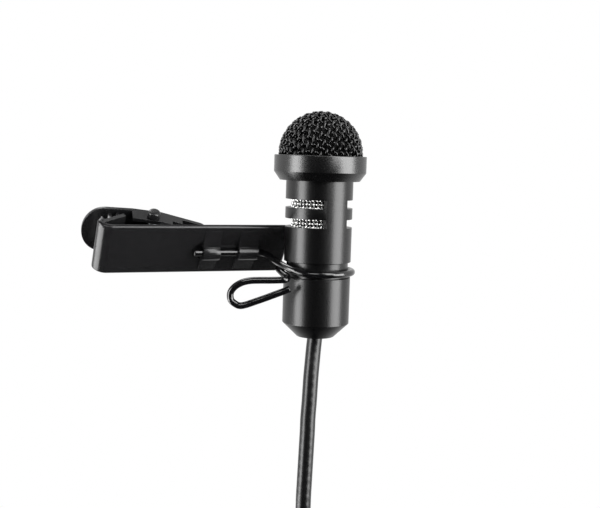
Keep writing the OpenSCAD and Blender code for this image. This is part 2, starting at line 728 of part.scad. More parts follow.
module plug_insert() {
    color("#1a1a1c") on_plug() difference() {
        rod(plug_bore - running, insert_top, nose_end + 0.4);
        for (a = [90, 210, 330]) rotate([0, 0, a]) translate([contact_r, 0, 0])
            rod(0.85 + fit, 0, nose_end - bite);
        translate([-0.5, -plug_bore - bite, nose_end])
            cube([1, 1, nose_l - 1]);
    }
}

module plug_contacts() {
    color("#c9a552") on_plug() for (a = [90, 210, 330]) rotate([0, 0, a])
        translate([contact_r, 0, 0]) difference() {
            rod(0.85, insert_top + 2, nose_end + 0.8);
            rod(0.5, nose_end + 7, nose_end - bite);
            rod(0.55, insert_top + 2 + bite, insert_top + 0.5);
        }
}

// Wires from the cable's end to the contacts
module plug_cores() {
    r = 0.28;
    top = -boot_in;
    foot = insert_top + 2;
    color("#c9c2b0") on_plug() for (a = [90, 210, 330]) rotate([0, 0, a])
        tube([[0.5, 0, top], [0.5, 0, top - 0.8], [contact_r, 0, foot + 1.5], [contact_r, 0, foot]],
            2 * r, 6);
}

module latch_button() {
    inner = plug_bore + latch_travel + running;
    boss = [1.6, inner - latch_boss, 2];
    color("#b4b6b8") on_plug() difference() {
        union() {
            translate([-latch_w / 2, -plug_d / 2 - latch_out, latch_top - latch_l])
                cube([latch_w, plug_d / 2 + latch_out - inner, latch_l]);
            translate([-boss.x / 2, -inner, latch_top - 0.8 - boss.z]) cube(boss);
        }
        for (k = [1:4])
            translate([0, -plug_d / 2 - latch_out, latch_top - k * latch_l / 5])
                cube([latch_w + 2 * bite, 0.4, 0.4], center = true);
    }
}

// A leaf that lies along the shell's bore and pushes the button out
module latch_spring() {
    t = 0.25;
    color("#8d8f92") on_plug() translate([-leaf_w / 2, -latch_boss + fit, insert_top + fit])
        cube([leaf_w, t, shell_top - 2 - insert_top]);
}

grille_dome();
grille_foam();
head_ring();
body_tube();
port_screen();
capsule_can();
capsule_felt();
capsule_board();
capsule_boot();
capsule_leads();
preamp_board();
board_parts();
cable_cores();
cable_ferrule();
cable_grommet();
clip_plate();
hinge_pin();
clip_spring();
jaw_lever();
mic_holder();
cable();
cable_hank();
hank_tie();
plug_boot();
plug_nut();
plug_clamp();
plug_shell();
plug_insert();
plug_contacts();
plug_cores();
latch_button();
latch_spring();
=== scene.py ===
# %% [markdown]
# # A lavalier microphone on its tie clip
# A small black microphone hangs by a spring-wire ring from a hinged clip, and its thin cable
# ends in a little locking plug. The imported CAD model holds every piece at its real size. This
# lesson dresses it: woven wire, blasted and anodised metal, glossy enamel and a soft cable.

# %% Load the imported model
import json
import math

import bmesh
import bpy
import numpy as np
from mathutils import Matrix, Vector


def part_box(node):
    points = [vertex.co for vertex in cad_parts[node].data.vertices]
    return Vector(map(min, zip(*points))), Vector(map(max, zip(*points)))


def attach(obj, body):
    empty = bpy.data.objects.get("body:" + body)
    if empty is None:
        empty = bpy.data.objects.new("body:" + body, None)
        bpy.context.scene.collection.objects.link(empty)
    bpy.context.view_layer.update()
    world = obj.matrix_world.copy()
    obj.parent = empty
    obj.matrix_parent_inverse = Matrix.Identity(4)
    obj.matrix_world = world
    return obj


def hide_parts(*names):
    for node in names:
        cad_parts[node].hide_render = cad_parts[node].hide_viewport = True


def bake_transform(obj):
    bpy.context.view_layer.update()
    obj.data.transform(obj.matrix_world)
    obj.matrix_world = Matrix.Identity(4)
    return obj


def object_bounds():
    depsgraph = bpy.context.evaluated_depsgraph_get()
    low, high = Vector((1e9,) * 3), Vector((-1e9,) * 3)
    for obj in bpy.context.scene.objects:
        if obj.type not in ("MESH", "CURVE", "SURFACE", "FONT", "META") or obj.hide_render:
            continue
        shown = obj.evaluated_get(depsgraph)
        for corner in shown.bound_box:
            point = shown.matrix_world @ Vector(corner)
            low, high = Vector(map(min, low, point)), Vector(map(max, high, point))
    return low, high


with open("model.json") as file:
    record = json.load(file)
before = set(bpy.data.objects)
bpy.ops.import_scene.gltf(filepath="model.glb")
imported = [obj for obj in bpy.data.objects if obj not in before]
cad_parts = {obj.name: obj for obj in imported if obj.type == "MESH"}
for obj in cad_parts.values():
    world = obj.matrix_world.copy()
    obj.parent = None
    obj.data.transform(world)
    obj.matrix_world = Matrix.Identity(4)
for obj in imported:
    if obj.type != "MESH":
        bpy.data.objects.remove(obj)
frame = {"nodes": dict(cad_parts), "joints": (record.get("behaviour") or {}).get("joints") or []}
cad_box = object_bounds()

MM = 0.001
TURN = 2 * math.pi

# %% [markdown]
# ## Places to measure from
# Two places carry everything else. One is the top of the head ring, on the microphone's axis.
# The other is the clip's own frame, which is rolled about its long side: x runs along the clip
# from its bend, y into it from its front face and z across it. Both are read from the model, so
# nothing is fitted afterwards.

# %% Places
ring_low, ring_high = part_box("head_ring")
body_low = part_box("body_tube")[0]
AXIS = (ring_low + ring_high) / 2
MIC = Vector((AXIS.x, AXIS.y, ring_high.z))
EXIT = Vector((AXIS.x, AXIS.y, body_low.z))

CLIP_ROLL = math.radians(35)
PIN = Vector((8.5, 3.15, 0)) * MM
joints = {joint["name"]: joint for joint in frame["joints"]}
pin_place = Vector(joints["jaw_hinge"]["pos_m"])
roll = Matrix.Rotation(CLIP_ROLL, 3, "X")
CLIP = Matrix.Translation(pin_place - roll @ PIN) @ roll.to_4x4()
print("ring top", [round(c / MM, 2) for c in MIC], "exit", [round(c / MM, 2) for c in EXIT])

# %% [markdown]
# ## Camera
# The camera comes first, because the cable's hidden length has to lie outside its view. It
# stands close, looks slightly up at the microphone and is set by real distances from the head
# ring, so that the perspective of a small object seen from near by comes out right.

# %% Camera
VIEW_TURN = math.radians(-21.4)
VIEW_PITCH = math.radians(-5.772)
VIEW_ROLL = math.radians(-1.74)
STAND = Vector((-2.615, -146.0, 0.004)) * MM
LENS = 58.8
NEAR_CLIP = 0.01

turn = Matrix.Rotation(VIEW_TURN, 3, "Z")
aim = Matrix.Rotation(VIEW_PITCH, 3, "X") @ Matrix.Rotation(VIEW_ROLL, 3, "Y")
right, forward, up = aim.col
camera = bpy.data.objects.new("camera", bpy.data.cameras.new("camera"))
camera.data.lens = LENS
camera.data.clip_start = NEAR_CLIP
axes = turn @ Matrix((right, up, -forward)).transposed()
camera.matrix_world = Matrix.Translation(MIC + turn @ STAND) @ axes.to_4x4()
bpy.context.scene.collection.objects.link(camera)
bpy.context.scene.camera = camera
print("camera", [round(c, 3) for c in camera.location])

# %% [markdown]
# ## Wires and cords are swept tubes
# A cable is one round section that follows a line. A few listed points give the line,
# a Catmull-Rom curve runs smoothly through them, and a ring of points is carried along it
# without twisting. Its UV map holds metres along and round the tube, so that a pattern can
# follow the cable wherever it goes.

# %% Curves and tubes
def smooth_line(points, steps):
    """A Catmull-Rom curve through the points, in that many steps from each to the next."""
    line = []
    for i in range(len(points) - 1):
        before, a, b, after = (points[max(i - 1, 0)], points[i], points[i + 1],
                               points[min(i + 2, len(points) - 1)])
        for k in range(steps):
            t = k / steps
            line.append(a + t / 2 * ((b - before) + t * ((2 * before - 5 * a + 4 * b - after)
                                                         + t * (3 * a - before - 3 * b + after))))
    return line + [points[-1]]


def even_line(points, step):
    """The same line with its points an equal distance apart."""
    p = np.array(points)
    run = np.concatenate([[0], np.cumsum(np.linalg.norm(np.diff(p, axis=0), axis=1))])
    at = np.linspace(0, run[-1], max(2, round(run[-1] / step)) + 1)
    return [Vector(q) for q in np.stack([np.interp(at, run, p[:, k]) for k in range(3)], 1)]


def new_mesh_object(name, vertices, faces):
    """A new object at the origin, with its place in its mesh."""
    mesh = bpy.data.meshes.new(name)
    mesh.from_pydata(vertices, [], faces)
    mesh.shade_smooth()
    made = bpy.data.objects.new(name, mesh)
    bpy.context.scene.collection.objects.link(made)
    return made


def swept_tube(name, line, radius, sides, end_round=0.0):
    """A closed tube along a line. end_round shrinks the first and last rings to round the ends."""
    points = [Vector(p) for p in line]
    if end_round:
        for tip, inner in ((0, 1), (-1, -2)):
            away = (points[tip] - points[inner]).normalized()
            extra = [points[tip] + away * end_round * s for s in (0.6, 1.0)]
            points = points + extra if tip else extra[::-1] + points
    scale = [1.0] * len(points)
    if end_round:
        scale[0] = scale[-1] = 1 - end_round / radius
        scale[1] = scale[-2] = 1 - 0.2 * end_round / radius
    last = len(points) - 1
    heading = [(points[min(i + 1, last)] - points[max(i - 1, 0)]).normalized()
               for i in range(last + 1)]
    side = heading[0].orthogonal().normalized()
    vertices, rows, run = [], [], 0.0
    for i, (place, ahead) in enumerate(zip(points, heading)):
        side = (side - ahead * side.dot(ahead)).normalized()
        over = ahead.cross(side)
        run += (place - points[i - 1]).length if i else 0
        rows.append(run)
        for k in range(sides):
            angle = TURN * k / sides
            vertices.append(place + radius * scale[i] * (math.cos(angle) * side
                                                         + math.sin(angle) * over))
    faces = [(i * sides + k, i * sides + (k + 1) % sides, (i + 1) * sides + (k + 1) % sides,
              (i + 1) * sides + k) for i in range(last) for k in range(sides)]
    faces += [tuple(range(sides))[::-1], tuple(last * sides + k for k in range(sides))]
    made = new_mesh_object(name, vertices, faces)
    uv = made.data.uv_layers.new(name="along")
    for face in made.data.polygons:
        for corner in face.loop_indices:
            row, k = divmod(made.data.loops[corner].vertex_index, sides)
            if k == 0 and len(face.vertices) == 4 and face.index % sides == sides - 1:
                k = sides
            uv.data[corner].uv = (rows[row], TURN * radius * k / sides)
    return made


# %% [markdown]
# ## The cable
# The cable is 2.3 mm thick and 1.59 m long, and it leaves the middle of the body's end face. Its
# free part hangs down in a lazy line. The rest is folded into a hank, in four layers of loops
# that a tie draws in at the waist, straight under the body where it hangs by its own weight. The
# hank repeats the CAD model's formula, so the cable lies in the space that its solid keeps.

# %% The cable's line
CABLE_D = 2.3
CABLE_STEP = 1.1
# The free part, in mm from the exit: from 5 mm inside the body to the top of the hank.
ROUTE = [(0, 0, 5), (0, 0, 2.5), (0, 0, 0), (-0.2, -0.1, -2), (-0.5, -0.5, -4),
         (-0.8, -0.9, -6), (-1, -1.2, -8), (-1.2, -1.5, -10), (-1.4, -1.7, -12),
         (-1.5, -1.9, -14), (-1.6, -2, -16), (-1.7, -2.1, -18), (-1.8, -2.2, -20),
         (-1.9, -2.3, -22), (-2, -2.4, -24), (-2, -2.4, -26), (-2, -2.4, -28)]
# A run is the straight part between two folds. The first fold has the radius FOLD_R, each half
# turn after it lies further out by half of LOOP_STEP, and each layer lies deeper by LAYER_STEP.
RUN = 37.5
FOLD_R = 6.9
LOOP_STEP = 3.3
LAYER_GAP, HANK_GAP = 0.45, 1.5
LAYER_STEP = CABLE_D + LAYER_GAP
WAIST_IN = 5.2
HALF_TURNS = 20
LAYER_TURNS = 5
# How many points of the line a fold and a run have.
FOLD_RINGS, RUN_RINGS = 7, 5
RINGS = FOLD_RINGS + RUN_RINGS
WIDEST = FOLD_R + LAYER_TURNS * LOOP_STEP / 2
HANK_DROP = WIDEST + CABLE_D / 2 + HANK_GAP
BOOT_L, BOOT_SEAT, FLANGE_L, CLAMP_L = 9.5, 1.5, 2, 3.5
BOOT_IN = BOOT_L + BOOT_SEAT + FLANGE_L + CLAMP_L
HANK_TOP = Vector(ROUTE[-1])
HANK = Vector((HANK_TOP.x + FOLD_R - WAIST_IN, HANK_TOP.y, HANK_TOP.z - HANK_DROP - RUN / 2))


def eased(t):
    """A rise from 0 to 1 that starts and ends gently."""
    return t * t * (3 - 2 * t)


def drawn_in(t):
    """How far the tie draws a run in, at a share t of its length."""
    return WAIST_IN * math.sin(math.pi * t) ** 2


def layer_at(count):
    """The layer at a count of half turns. It climbs along the last run of each layer."""
    f = count / LAYER_TURNS
    start = 1 - RUN_RINGS / RINGS / LAYER_TURNS
    return math.floor(f) + 1 + eased(max(0, (f % 1 - start) / (1 - start)))


def hank_point(half_turn, ring):
    """One point of a half turn: first round the fold, then down the run."""
    count = half_turn + ring / RINGS
    spread = count / LAYER_TURNS % 2
    r = FOLD_R + LAYER_TURNS * LOOP_STEP / 2 * (spread if spread < 1 else 2 - spread)
    way = 1 if half_turn % 2 == 0 else -1
    t = max(0, (ring - FOLD_RINGS) / RUN_RINGS)
    angle = math.pi * min(ring, FOLD_RINGS) / FOLD_RINGS
    across = drawn_in(t) - r if t > 0 else r * math.cos(angle)
    down = (t - 0.5) * RUN if t > 0 else -RUN / 2 - r * math.sin(angle)
    return HANK + Vector((-way * across, -LAYER_STEP * layer_at(count), way * down))


waist_end = hank_point(HALF_TURNS - 1, FOLD_RINGS + RUN_RINGS / 2)
HANK_END = Vector((waist_end.x, HANK.y - LAYER_STEP * (1 + HALF_TURNS / LAYER_TURNS), HANK.z))
PLUG = Vector((HANK_END.x, HANK_END.y, HANK.z - RUN / 2 - HANK_DROP))

line = [Vector(p) for p in ROUTE[:-1]]
line += [HANK_TOP, HANK_TOP - Vector((0, 0, CABLE_D)), HANK_TOP - Vector((0, 0, HANK_DROP)),
         Vector((HANK_TOP.x, HANK.y, HANK.z + RUN / 8))]
for k in range(4):
    t = 0.5 + k / 6
    line.append(HANK + Vector((drawn_in(t) - FOLD_R, -LAYER_STEP * eased((t - 0.5) * 2),
                               (0.5 - t) * RUN)))
line += [hank_point(h, j) for h in range(HALF_TURNS - 1) for j in range(0 if h else 1, RINGS)]
line += [hank_point(HALF_TURNS - 1, j) for j in range(FOLD_RINGS + 3)]
line += [HANK_END - Vector((0, 0, RUN / 8)), HANK_END - Vector((0, 0, RUN / 2)),
         PLUG + Vector((0, 0, CABLE_D)), PLUG - Vector((0, 0, BOOT_IN))]
cable_line = even_line(smooth_line([EXIT + p * MM for p in line], 8), CABLE_STEP * MM)
cable = swept_tube("cable_jacket", cable_line, CABLE_D / 2 * MM, 20)
measured = sum((b - a).length for a, b in zip(cable_line, cable_line[1:]))
print("cable", round(measured, 3), "m in", len(cable_line), "points")

# %% [markdown]
# ## Turned pieces
# Head ring, body and hinge pin come off a lathe. Each is a closed section in radius and height,
# spun about the axis. Real turned edges are broken with a file, and it is that narrow band that
# catches the light, so every corner of a section gets a small arc.

# %% A lathe
def rounded_section(corners, steps=3):
    """A section (radius, height, edge radius) in mm, with its corners made into short arcs. An
    arc takes up less than half of a side."""
    section = []
    count = len(corners)
    for i, (r, z, edge) in enumerate(corners):
        here = Vector((r, z))
        before = Vector(corners[i - 1][:2]) - here
        after = Vector(corners[(i + 1) % count][:2]) - here
        if not edge:
            section.append(here)
            continue
        half = before.angle(after) / 2
        reach = min(edge / math.tan(half), before.length * 0.45, after.length * 0.45)
        start, end = here + before.normalized() * reach, here + after.normalized() * reach
        for k in range(steps + 1):
            t = k / steps
            section.append((1 - t) ** 2 * start + 2 * t * (1 - t) * here + t * t * end)
    return section


def turned_piece(name, corners, origin, sides, steps=3):
    """A closed ring or solid of revolution. Heights are above origin, on a vertical axis."""
    section = rounded_section(corners, steps)
    rows = len(section)
    made = bmesh.new()
    rings = []
    for point in section:
        if point.x < 1e-6:
            rings.append([made.verts.new(origin + Vector((0, 0, point.y * MM)))])
            continue
        rings.append([made.verts.new(origin + MM * Vector((
            point.x * math.cos(TURN * k / sides), point.x * math.sin(TURN * k / sides), point.y)))
            for k in range(sides)])
    for i in range(rows):
        a, b = rings[i], rings[(i + 1) % rows]
        if len(a) == 1 and len(b) == 1:
            continue
        for k in range(sides):
            corners_of_face = [a[k % len(a)], a[(k + 1) % len(a)], b[(k + 1) % len(b)], b[k % len(b)]]
            made.faces.new(list(dict.fromkeys(corners_of_face)))
    bmesh.ops.recalc_face_normals(made, faces=made.faces)
    mesh = bpy.data.meshes.new(name)
    made.to_mesh(mesh)
    made.free()
    mesh.shade_smooth()
    piece = bpy.data.objects.new(name, mesh)
    bpy.context.scene.collection.objects.link(piece)
    return piece


def applied(piece):
    """The piece with its modifiers worked into a plain mesh."""
    bpy.context.view_layer.update()
    plain = bpy.data.meshes.new_from_object(
        piece.evaluated_get(bpy.context.evaluated_depsgraph_get()))
    piece.modifiers.clear()
    piece.data = plain
    return piece


# An edge that turns by more than this counts as sharp.
SHARP = math.radians(32)


def broken_edges(piece, width, steps=2):
    """Rounds the sharp edges and weights the normals, so that flats stay flat."""
    bevel = piece.modifiers.new("broken edges", "BEVEL")
    bevel.width = width * MM
    bevel.segments = steps
    bevel.limit_method = "ANGLE"
    bevel.angle_limit = SHARP
    bevel.miter_outer = "MITER_ARC"
    weighted = piece.modifiers.new("flat faces", "WEIGHTED_NORMAL")
    weighted.keep_sharp = False
    return applied(piece)


# %% [markdown]
# ## Head ring and body
# The head ring has a straight band, a bevel under it and a seat for the dome. The body is a tube
# with a groove for the wire holder and a bevelled end. Its sound slots are straight saw cuts
# from two sides, so a Boolean with flat-sided blocks does exactly what the saw does.

# %% Head ring
RING_R, RING_BORE = 6.85, 6.3
BAND_H, RING_H, BEVEL_IN = 2.45, 3.7, 0.9
WEB_TOP, WEB_FOOT = 1.2, 1.7
BODY_R, BORE_R = 5.0, 4.2
SLIP = 0.02

ring_corners = [
    (RING_R, 0, 0.12), (RING_R, -BAND_H, 0.1), (RING_R - BEVEL_IN, -RING_H, 0.1),
    (BODY_R + SLIP, -RING_H, 0.05), (BODY_R + SLIP, -WEB_FOOT, 0), (BORE_R + 0.1, -WEB_FOOT, 0),
    (BORE_R + 0.1, -WEB_TOP, 0), (RING_BORE, -WEB_TOP, 0), (RING_BORE, 0, 0.1)]
head_ring = turned_piece("head_ring_turned", ring_corners, MIC, 192)
print("ring", 2 * RING_R, "mm across")

# %% Body tube
GROOVE_TOP, GROOVE_H, GROOVE_IN = 15.7, 2.3, 0.4
END_BEVEL, END_R, EXIT_R, END_WALL = 2.1, 2.8, 1.9, 2.05
body_top = -WEB_FOOT - SLIP
groove_foot = -GROOVE_TOP - GROOVE_H
body_end = (EXIT.z - MIC.z) / MM

body_corners = [
    (BODY_R, body_top, 0), (BODY_R, -GROOVE_TOP, 0.07), (BODY_R - GROOVE_IN, -GROOVE_TOP, 0.1),
    (BODY_R - GROOVE_IN, groove_foot, 0.1), (BODY_R, groove_foot, 0.07),
    (BODY_R, body_end + END_BEVEL, 0.12), (END_R, body_end, 0.15), (EXIT_R, body_end, 0.08),
    (EXIT_R, body_end + END_WALL, 0), (BORE_R, body_end + END_WALL, 0), (BORE_R, body_top, 0)]
body_tube = turned_piece("body_tube_turned", body_corners, MIC, 192)
print("body ends", round(-body_end, 2), "mm below the ring's top")

# %% Saw cuts
SLOT_FLOOR, SLOT_H, SLOT_PITCH, SLOT_TOP = 1.8, 1.25, 2.85, 6.45
SLOT_TURN = math.radians(12.5)
SAW_BLOCK = Vector((10, 20, SLOT_H))

saw = bmesh.new()
for side in (0, math.pi):
    for row in (0, 1):
        depth = SLOT_TOP + SLOT_H / 2 + row * SLOT_PITCH
        block = bmesh.ops.create_cube(saw, size=1)["verts"]
        bmesh.ops.scale(saw, vec=SAW_BLOCK * MM, verts=block)
        bmesh.ops.translate(saw, vec=Vector((SLOT_FLOOR + SAW_BLOCK.x / 2, 0, -depth)) * MM,
                            verts=block)
        bmesh.ops.rotate(saw, cent=(0, 0, 0), verts=block,
                         matrix=Matrix.Rotation(SLOT_TURN + side, 3, "Z"))
saw_mesh = bpy.data.meshes.new("saw cuts")
saw.to_mesh(saw_mesh)
saw.free()
saw_blocks = bpy.data.objects.new("saw_cuts", saw_mesh)
saw_blocks.location = MIC
bpy.context.scene.collection.objects.link(saw_blocks)
cut = body_tube.modifiers.new("saw", "BOOLEAN")
cut.operation = "DIFFERENCE"
cut.solver = "EXACT"
cut.object = saw_blocks
applied(body_tube)
bpy.data.objects.remove(saw_blocks)
broken_edges(body_tube, 0.05)
print("body", len(body_tube.data.polygons), "faces")

# %% [markdown]
# ## Adding nodes
# Geometry Nodes and materials are both trees of nodes. One small function adds a node of any
# kind, sets its properties and fills its inputs with values or with links.

# %% One function for every node
def add_node(tree, kind, inputs=None, **settings):
    """Adds a node. inputs maps a socket's name or number to a value, to another node's output,
    or to a node, which stands for its first output."""
    made = tree.nodes.new(kind)
    for name, value in settings.items():
        setattr(made, name, value)
    for name, value in (inputs or {}).items():
        if isinstance(value, bpy.types.Node):
            value = value.outputs[0]
        if isinstance(value, bpy.types.NodeSocket):
            tree.links.new(value, made.inputs[name])
        else:
            made.inputs[name].default_value = value
    return made


# %% Geometry trees with named sizes
def new_geometry_tree(name, sizes):
    """A geometry tree with an input for each size, given as (name, kind, value). It comes with
    its inputs by name, ready to be linked."""
    tree = bpy.data.node_groups.new(name, "GeometryNodeTree")
    tree.interface.new_socket(name="Geometry", in_out="OUTPUT", socket_type="NodeSocketGeometry")
    for label, kind, value in sizes:
        socket = tree.interface.new_socket(name=label, in_out="INPUT", socket_type="NodeSocket" + kind)
        socket.default_value = value
    given = add_node(tree, "NodeGroupInput")
    return tree, {label: given.outputs[label] for label, kind, value in sizes}


def made_by_nodes(name, tree, sizes):
    """Runs a geometry tree on an empty mesh and returns the result as a plain mesh object."""
    piece = new_mesh_object(name, [], [])
    modifier = piece.modifiers.new(tree.name, "NODES")
    modifier.node_group = tree
    values = {label: value for label, kind, value in sizes}
    for socket in tree.interface.items_tree:
        if socket.in_out == "INPUT":
            modifier[socket.identifier] = values[socket.name]
    return applied(piece)


# %% [markdown]
# ## Materials: anodised and enamelled metal
# Nothing on a microphone may glare on stage, so the turned parts are blasted with fine grit and
# anodised black. Dyed oxide is a dielectric: it has hardly any colour of its own, a weak
# mirror and a rough skin that sparkles. The clip is pressed steel under a glossy stoved enamel,
# which flows a little before it sets and leaves a faint orange peel.

# %% Colour and coordinates
def linear(code):
    """A colour written as sRGB hex, in the linear values that the shader wants."""
    values = [int(code[k:k + 2], 16) / 255 for k in (1, 3, 5)]
    return [v / 12.92 if v <= 0.04045 else ((v + 0.055) / 1.055) ** 2.4 for v in values] + [1]


def new_material(name, code, roughness, metallic=0.0, **inputs):
    """A Principled material, with its tree, its shader and its Object coordinates in metres."""
    made = bpy.data.materials.new(name)
    made.use_nodes = True
    tree = made.node_tree
    shader = tree.nodes["Principled BSDF"]
    shader.inputs["Base Color"].default_value = linear(code)
    shader.inputs["Roughness"].default_value = roughness
    shader.inputs["Metallic"].default_value = metallic
    for label, value in inputs.items():
        shader.inputs[label.replace("_", " ")].default_value = value
    place = add_node(tree, "ShaderNodeTexCoord").outputs["Object"]
    made.diffuse_color = linear(code)
    return made, tree, shader, place


# %% A grain of a real size
def add_grain(tree, shader, place, grain, tones, rough, height, detail=3.0):
    """Grain that varies the colour, the roughness and the surface's height. Its size and its
    height are in mm. tones are the darker and the lighter colour, rough the least and the most."""
    noise = add_node(tree, "ShaderNodeTexNoise", {"Vector": place, "Scale": 1 / (grain * MM),
                                                  "Detail": detail, "Roughness": 0.6})
    shade = add_node(tree, "ShaderNodeMix", {"Factor": noise.outputs["Fac"], 6: linear(tones[0]),
                                             7: linear(tones[1])}, data_type="RGBA")
    sheen = add_node(tree, "ShaderNodeMapRange", {"Value": noise.outputs["Fac"], "From Min": 0.3,
                                                  "From Max": 0.7, "To Min": rough[0],
                                                  "To Max": rough[1]})
    bump = add_node(tree, "ShaderNodeBump", {"Height": noise.outputs["Fac"], "Strength": 1.0,
                                             "Distance": height * MM})
    tree.links.new(shade.outputs[2], shader.inputs["Base Color"])
    tree.links.new(sheen.outputs["Result"], shader.inputs["Roughness"])
    tree.links.new(bump.outputs["Normal"], shader.inputs["Normal"])
    return bump


def grained(name, tones, grain, rough, height, metallic=0.0, detail=3.0, **inputs):
    """A whole finish that is made of one grain."""
    made, tree, shader, place = new_material(name, tones[1], rough[0], metallic, **inputs)
    add_grain(tree, shader, place, grain, tones, rough, height, detail)
    return made


# %% Black metal finishes
# Grit-blasted, then dyed: a soft black with a fine sparkle. The grit's 0.05 mm dents are drawn
# at more than twice their size, so that they show.
DYED_OXIDE = ("#010102", "#050505")
COARSE_ANODISED = grained("coarse-blasted black anodised aluminium", DYED_OXIDE, 0.16,
                          (0.24, 0.3), 0.011, IOR=1.68)
FINE_ANODISED = grained("fine-blasted black anodised aluminium", DYED_OXIDE, 0.12,
                        (0.26, 0.33), 0.004, IOR=1.52)
# Sprayed and baked over pressed steel: deep, glossy and very slightly wavy.
ENAMEL = grained("stoved black enamel", ("#151516", "#1b1b1c"), 1.4, (0.19, 0.27), 0.004,
                 detail=2.0, IOR=1.5)
# Drawn wire under a clear black lacquer: a sharp line of light runs along it.
SPRING_WIRE = grained("lacquered spring wire", ("#050506", "#0b0b0c"), 0.5, (0.12, 0.2), 0.003,
                      IOR=1.65)
# Woven steel wire, blackened after it is pressed: smooth round wires that glint.
BLACK_CLOTH = grained("blackened wire cloth", ("#020202", "#060607"), 0.3, (0.11, 0.18), 0.003,
                      IOR=1.53)
print(len(bpy.data.materials), "materials")

# %% Bright metals
# Bare stainless wire: a mirror that is broken up by the weave.
BRIGHT_CLOTH = grained("bright wire cloth", ("#c9c9c8", "#f2f2f1"), 0.25, (0.16, 0.3), 0.003,
                       metallic=1.0)
# Turned brass, bead-blasted and plated: a dark satin metal.
BLACK_CHROME = grained("black chrome on brass", ("#323335", "#434446"), 0.12, (0.27, 0.38), 0.003,
                       metallic=1.0)
# Drawn spring steel: a plain grey, dulled by oil.
STEEL = grained("drawn steel", ("#7c7d80", "#9c9da0"), 0.2, (0.22, 0.38), 0.002, metallic=1.0)
# Cast, tumbled and plated: a warm soft shine.
NICKEL = grained("satin nickel", ("#a9aaa8", "#c6c7c5"), 0.15, (0.22, 0.34), 0.002, metallic=1.0)


def handled(name, dark, light):
    """Drawn metal, bare, tinned or gilded, that handling has dulled to a soft shine."""
    return grained(name, (dark, light), 0.4, (0.28, 0.42), 0.002, metallic=1.0)


CAN_METAL = handled("drawn capsule can", "#9fa1a3", "#c3c5c7")
CRIMP_METAL = handled("tinned copper crimp", "#94968f", "#b4b6b0")
GOLD = handled("gold-flashed brass", "#b48f3f", "#dcb863")
print(len(bpy.data.materials), "materials")

# %% [markdown]
# ## Materials: plastic, rubber, foam and cloth
# The soft parts are matt. Cable jacket is extruded and takes a silky skin, with the twist of
# the cores inside it just showing through. Foam is all open cells, felt and webbing are fibres.
# Each pattern is sized in millimetres.

# %% Moulded and extruded finishes
def moulded(name, dark, light, rough, grain=0.25):
    """Moulded plastic or rubber: an even colour with the fine grain of the mould."""
    return grained(name, (dark, light), grain, rough, 0.004)


BLACK_RUBBER = moulded("moulded black rubber", "#121212", "#1b1b1b", (0.6, 0.75))
BLACK_NYLON = moulded("moulded black nylon", "#131314", "#1c1c1d", (0.4, 0.55))
CLAMP_ACETAL = moulded("moulded acetal", "#a9a9a6", "#b8b8b5", (0.35, 0.5))
BOARD_BLACK = moulded("black solder mask on glass epoxy", "#0f1311", "#171d1a", (0.35, 0.5), 0.5)
CHIP_EPOXY = moulded("component epoxy", "#1b1b1d", "#29292c", (0.55, 0.7))
LEAD_PVC = moulded("grey PVC insulation", "#3a3a3c", "#4a4a4c", (0.4, 0.5))
CORE_PVC = moulded("cream PVC insulation", "#b9b09c", "#cfc8b6", (0.4, 0.5))


def cable_rubber():
    # Extruded thermoplastic rubber. The twisted cores under it swell it a little.
    lay = 1.3 * MM
    made, tree, shader, place = new_material("cable rubber", "#141415", 0.45)
    bump = add_grain(tree, shader, place, 0.3, ("#060607", "#0b0b0c"), (0.27, 0.36), 0.004)
    along = add_node(tree, "ShaderNodeUVMap", uv_map="along")
    parts = add_node(tree, "ShaderNodeSeparateXYZ", {"Vector": along})
    phase = add_node(tree, "ShaderNodeMath", {0: parts.outputs["X"], 1: TURN / lay},
                     operation="MULTIPLY")
    skew = add_node(tree, "ShaderNodeMath", {0: parts.outputs["Y"], 1: 2 / (CABLE_D * MM), 2: phase},
                    operation="MULTIPLY_ADD")
    wave = add_node(tree, "ShaderNodeMath", {0: skew}, operation="SINE")
    swell = add_node(tree, "ShaderNodeBump", {"Height": wave, "Strength": 1.0,
                                              "Distance": 0.008 * MM, "Normal": bump})
    tree.links.new(swell.outputs["Normal"], shader.inputs["Normal"])
    return made


CABLE_RUBBER = cable_rubber()
print(len(bpy.data.materials), "materials")


# %% Foam, felt and webbing
def open_cell_foam():
    # Cut polyurethane foam: a matt black full of small cells, with painted shade in their hollows.
    cell = 0.4 * MM
    made, tree, shader, place = new_material("open-cell foam", "#0d0d0d", 0.95)
    cells = add_node(tree, "ShaderNodeTexVoronoi", {"Vector": place, "Scale": 1 / cell})
    # Painted shade: the cells' hollows are coloured darker than their rims.
    shade = add_node(tree, "ShaderNodeMix", {"Factor": cells.outputs["Distance"],
                                             6: linear("#050505"), 7: linear("#171717")},
                     data_type="RGBA")
    bump = add_node(tree, "ShaderNodeBump", {"Height": cells.outputs["Distance"],
                                             "Distance": 0.15 * MM})
    tree.links.new(shade.outputs[2], shader.inputs["Base Color"])
    tree.links.new(bump.outputs["Normal"], shader.inputs["Normal"])
    return made


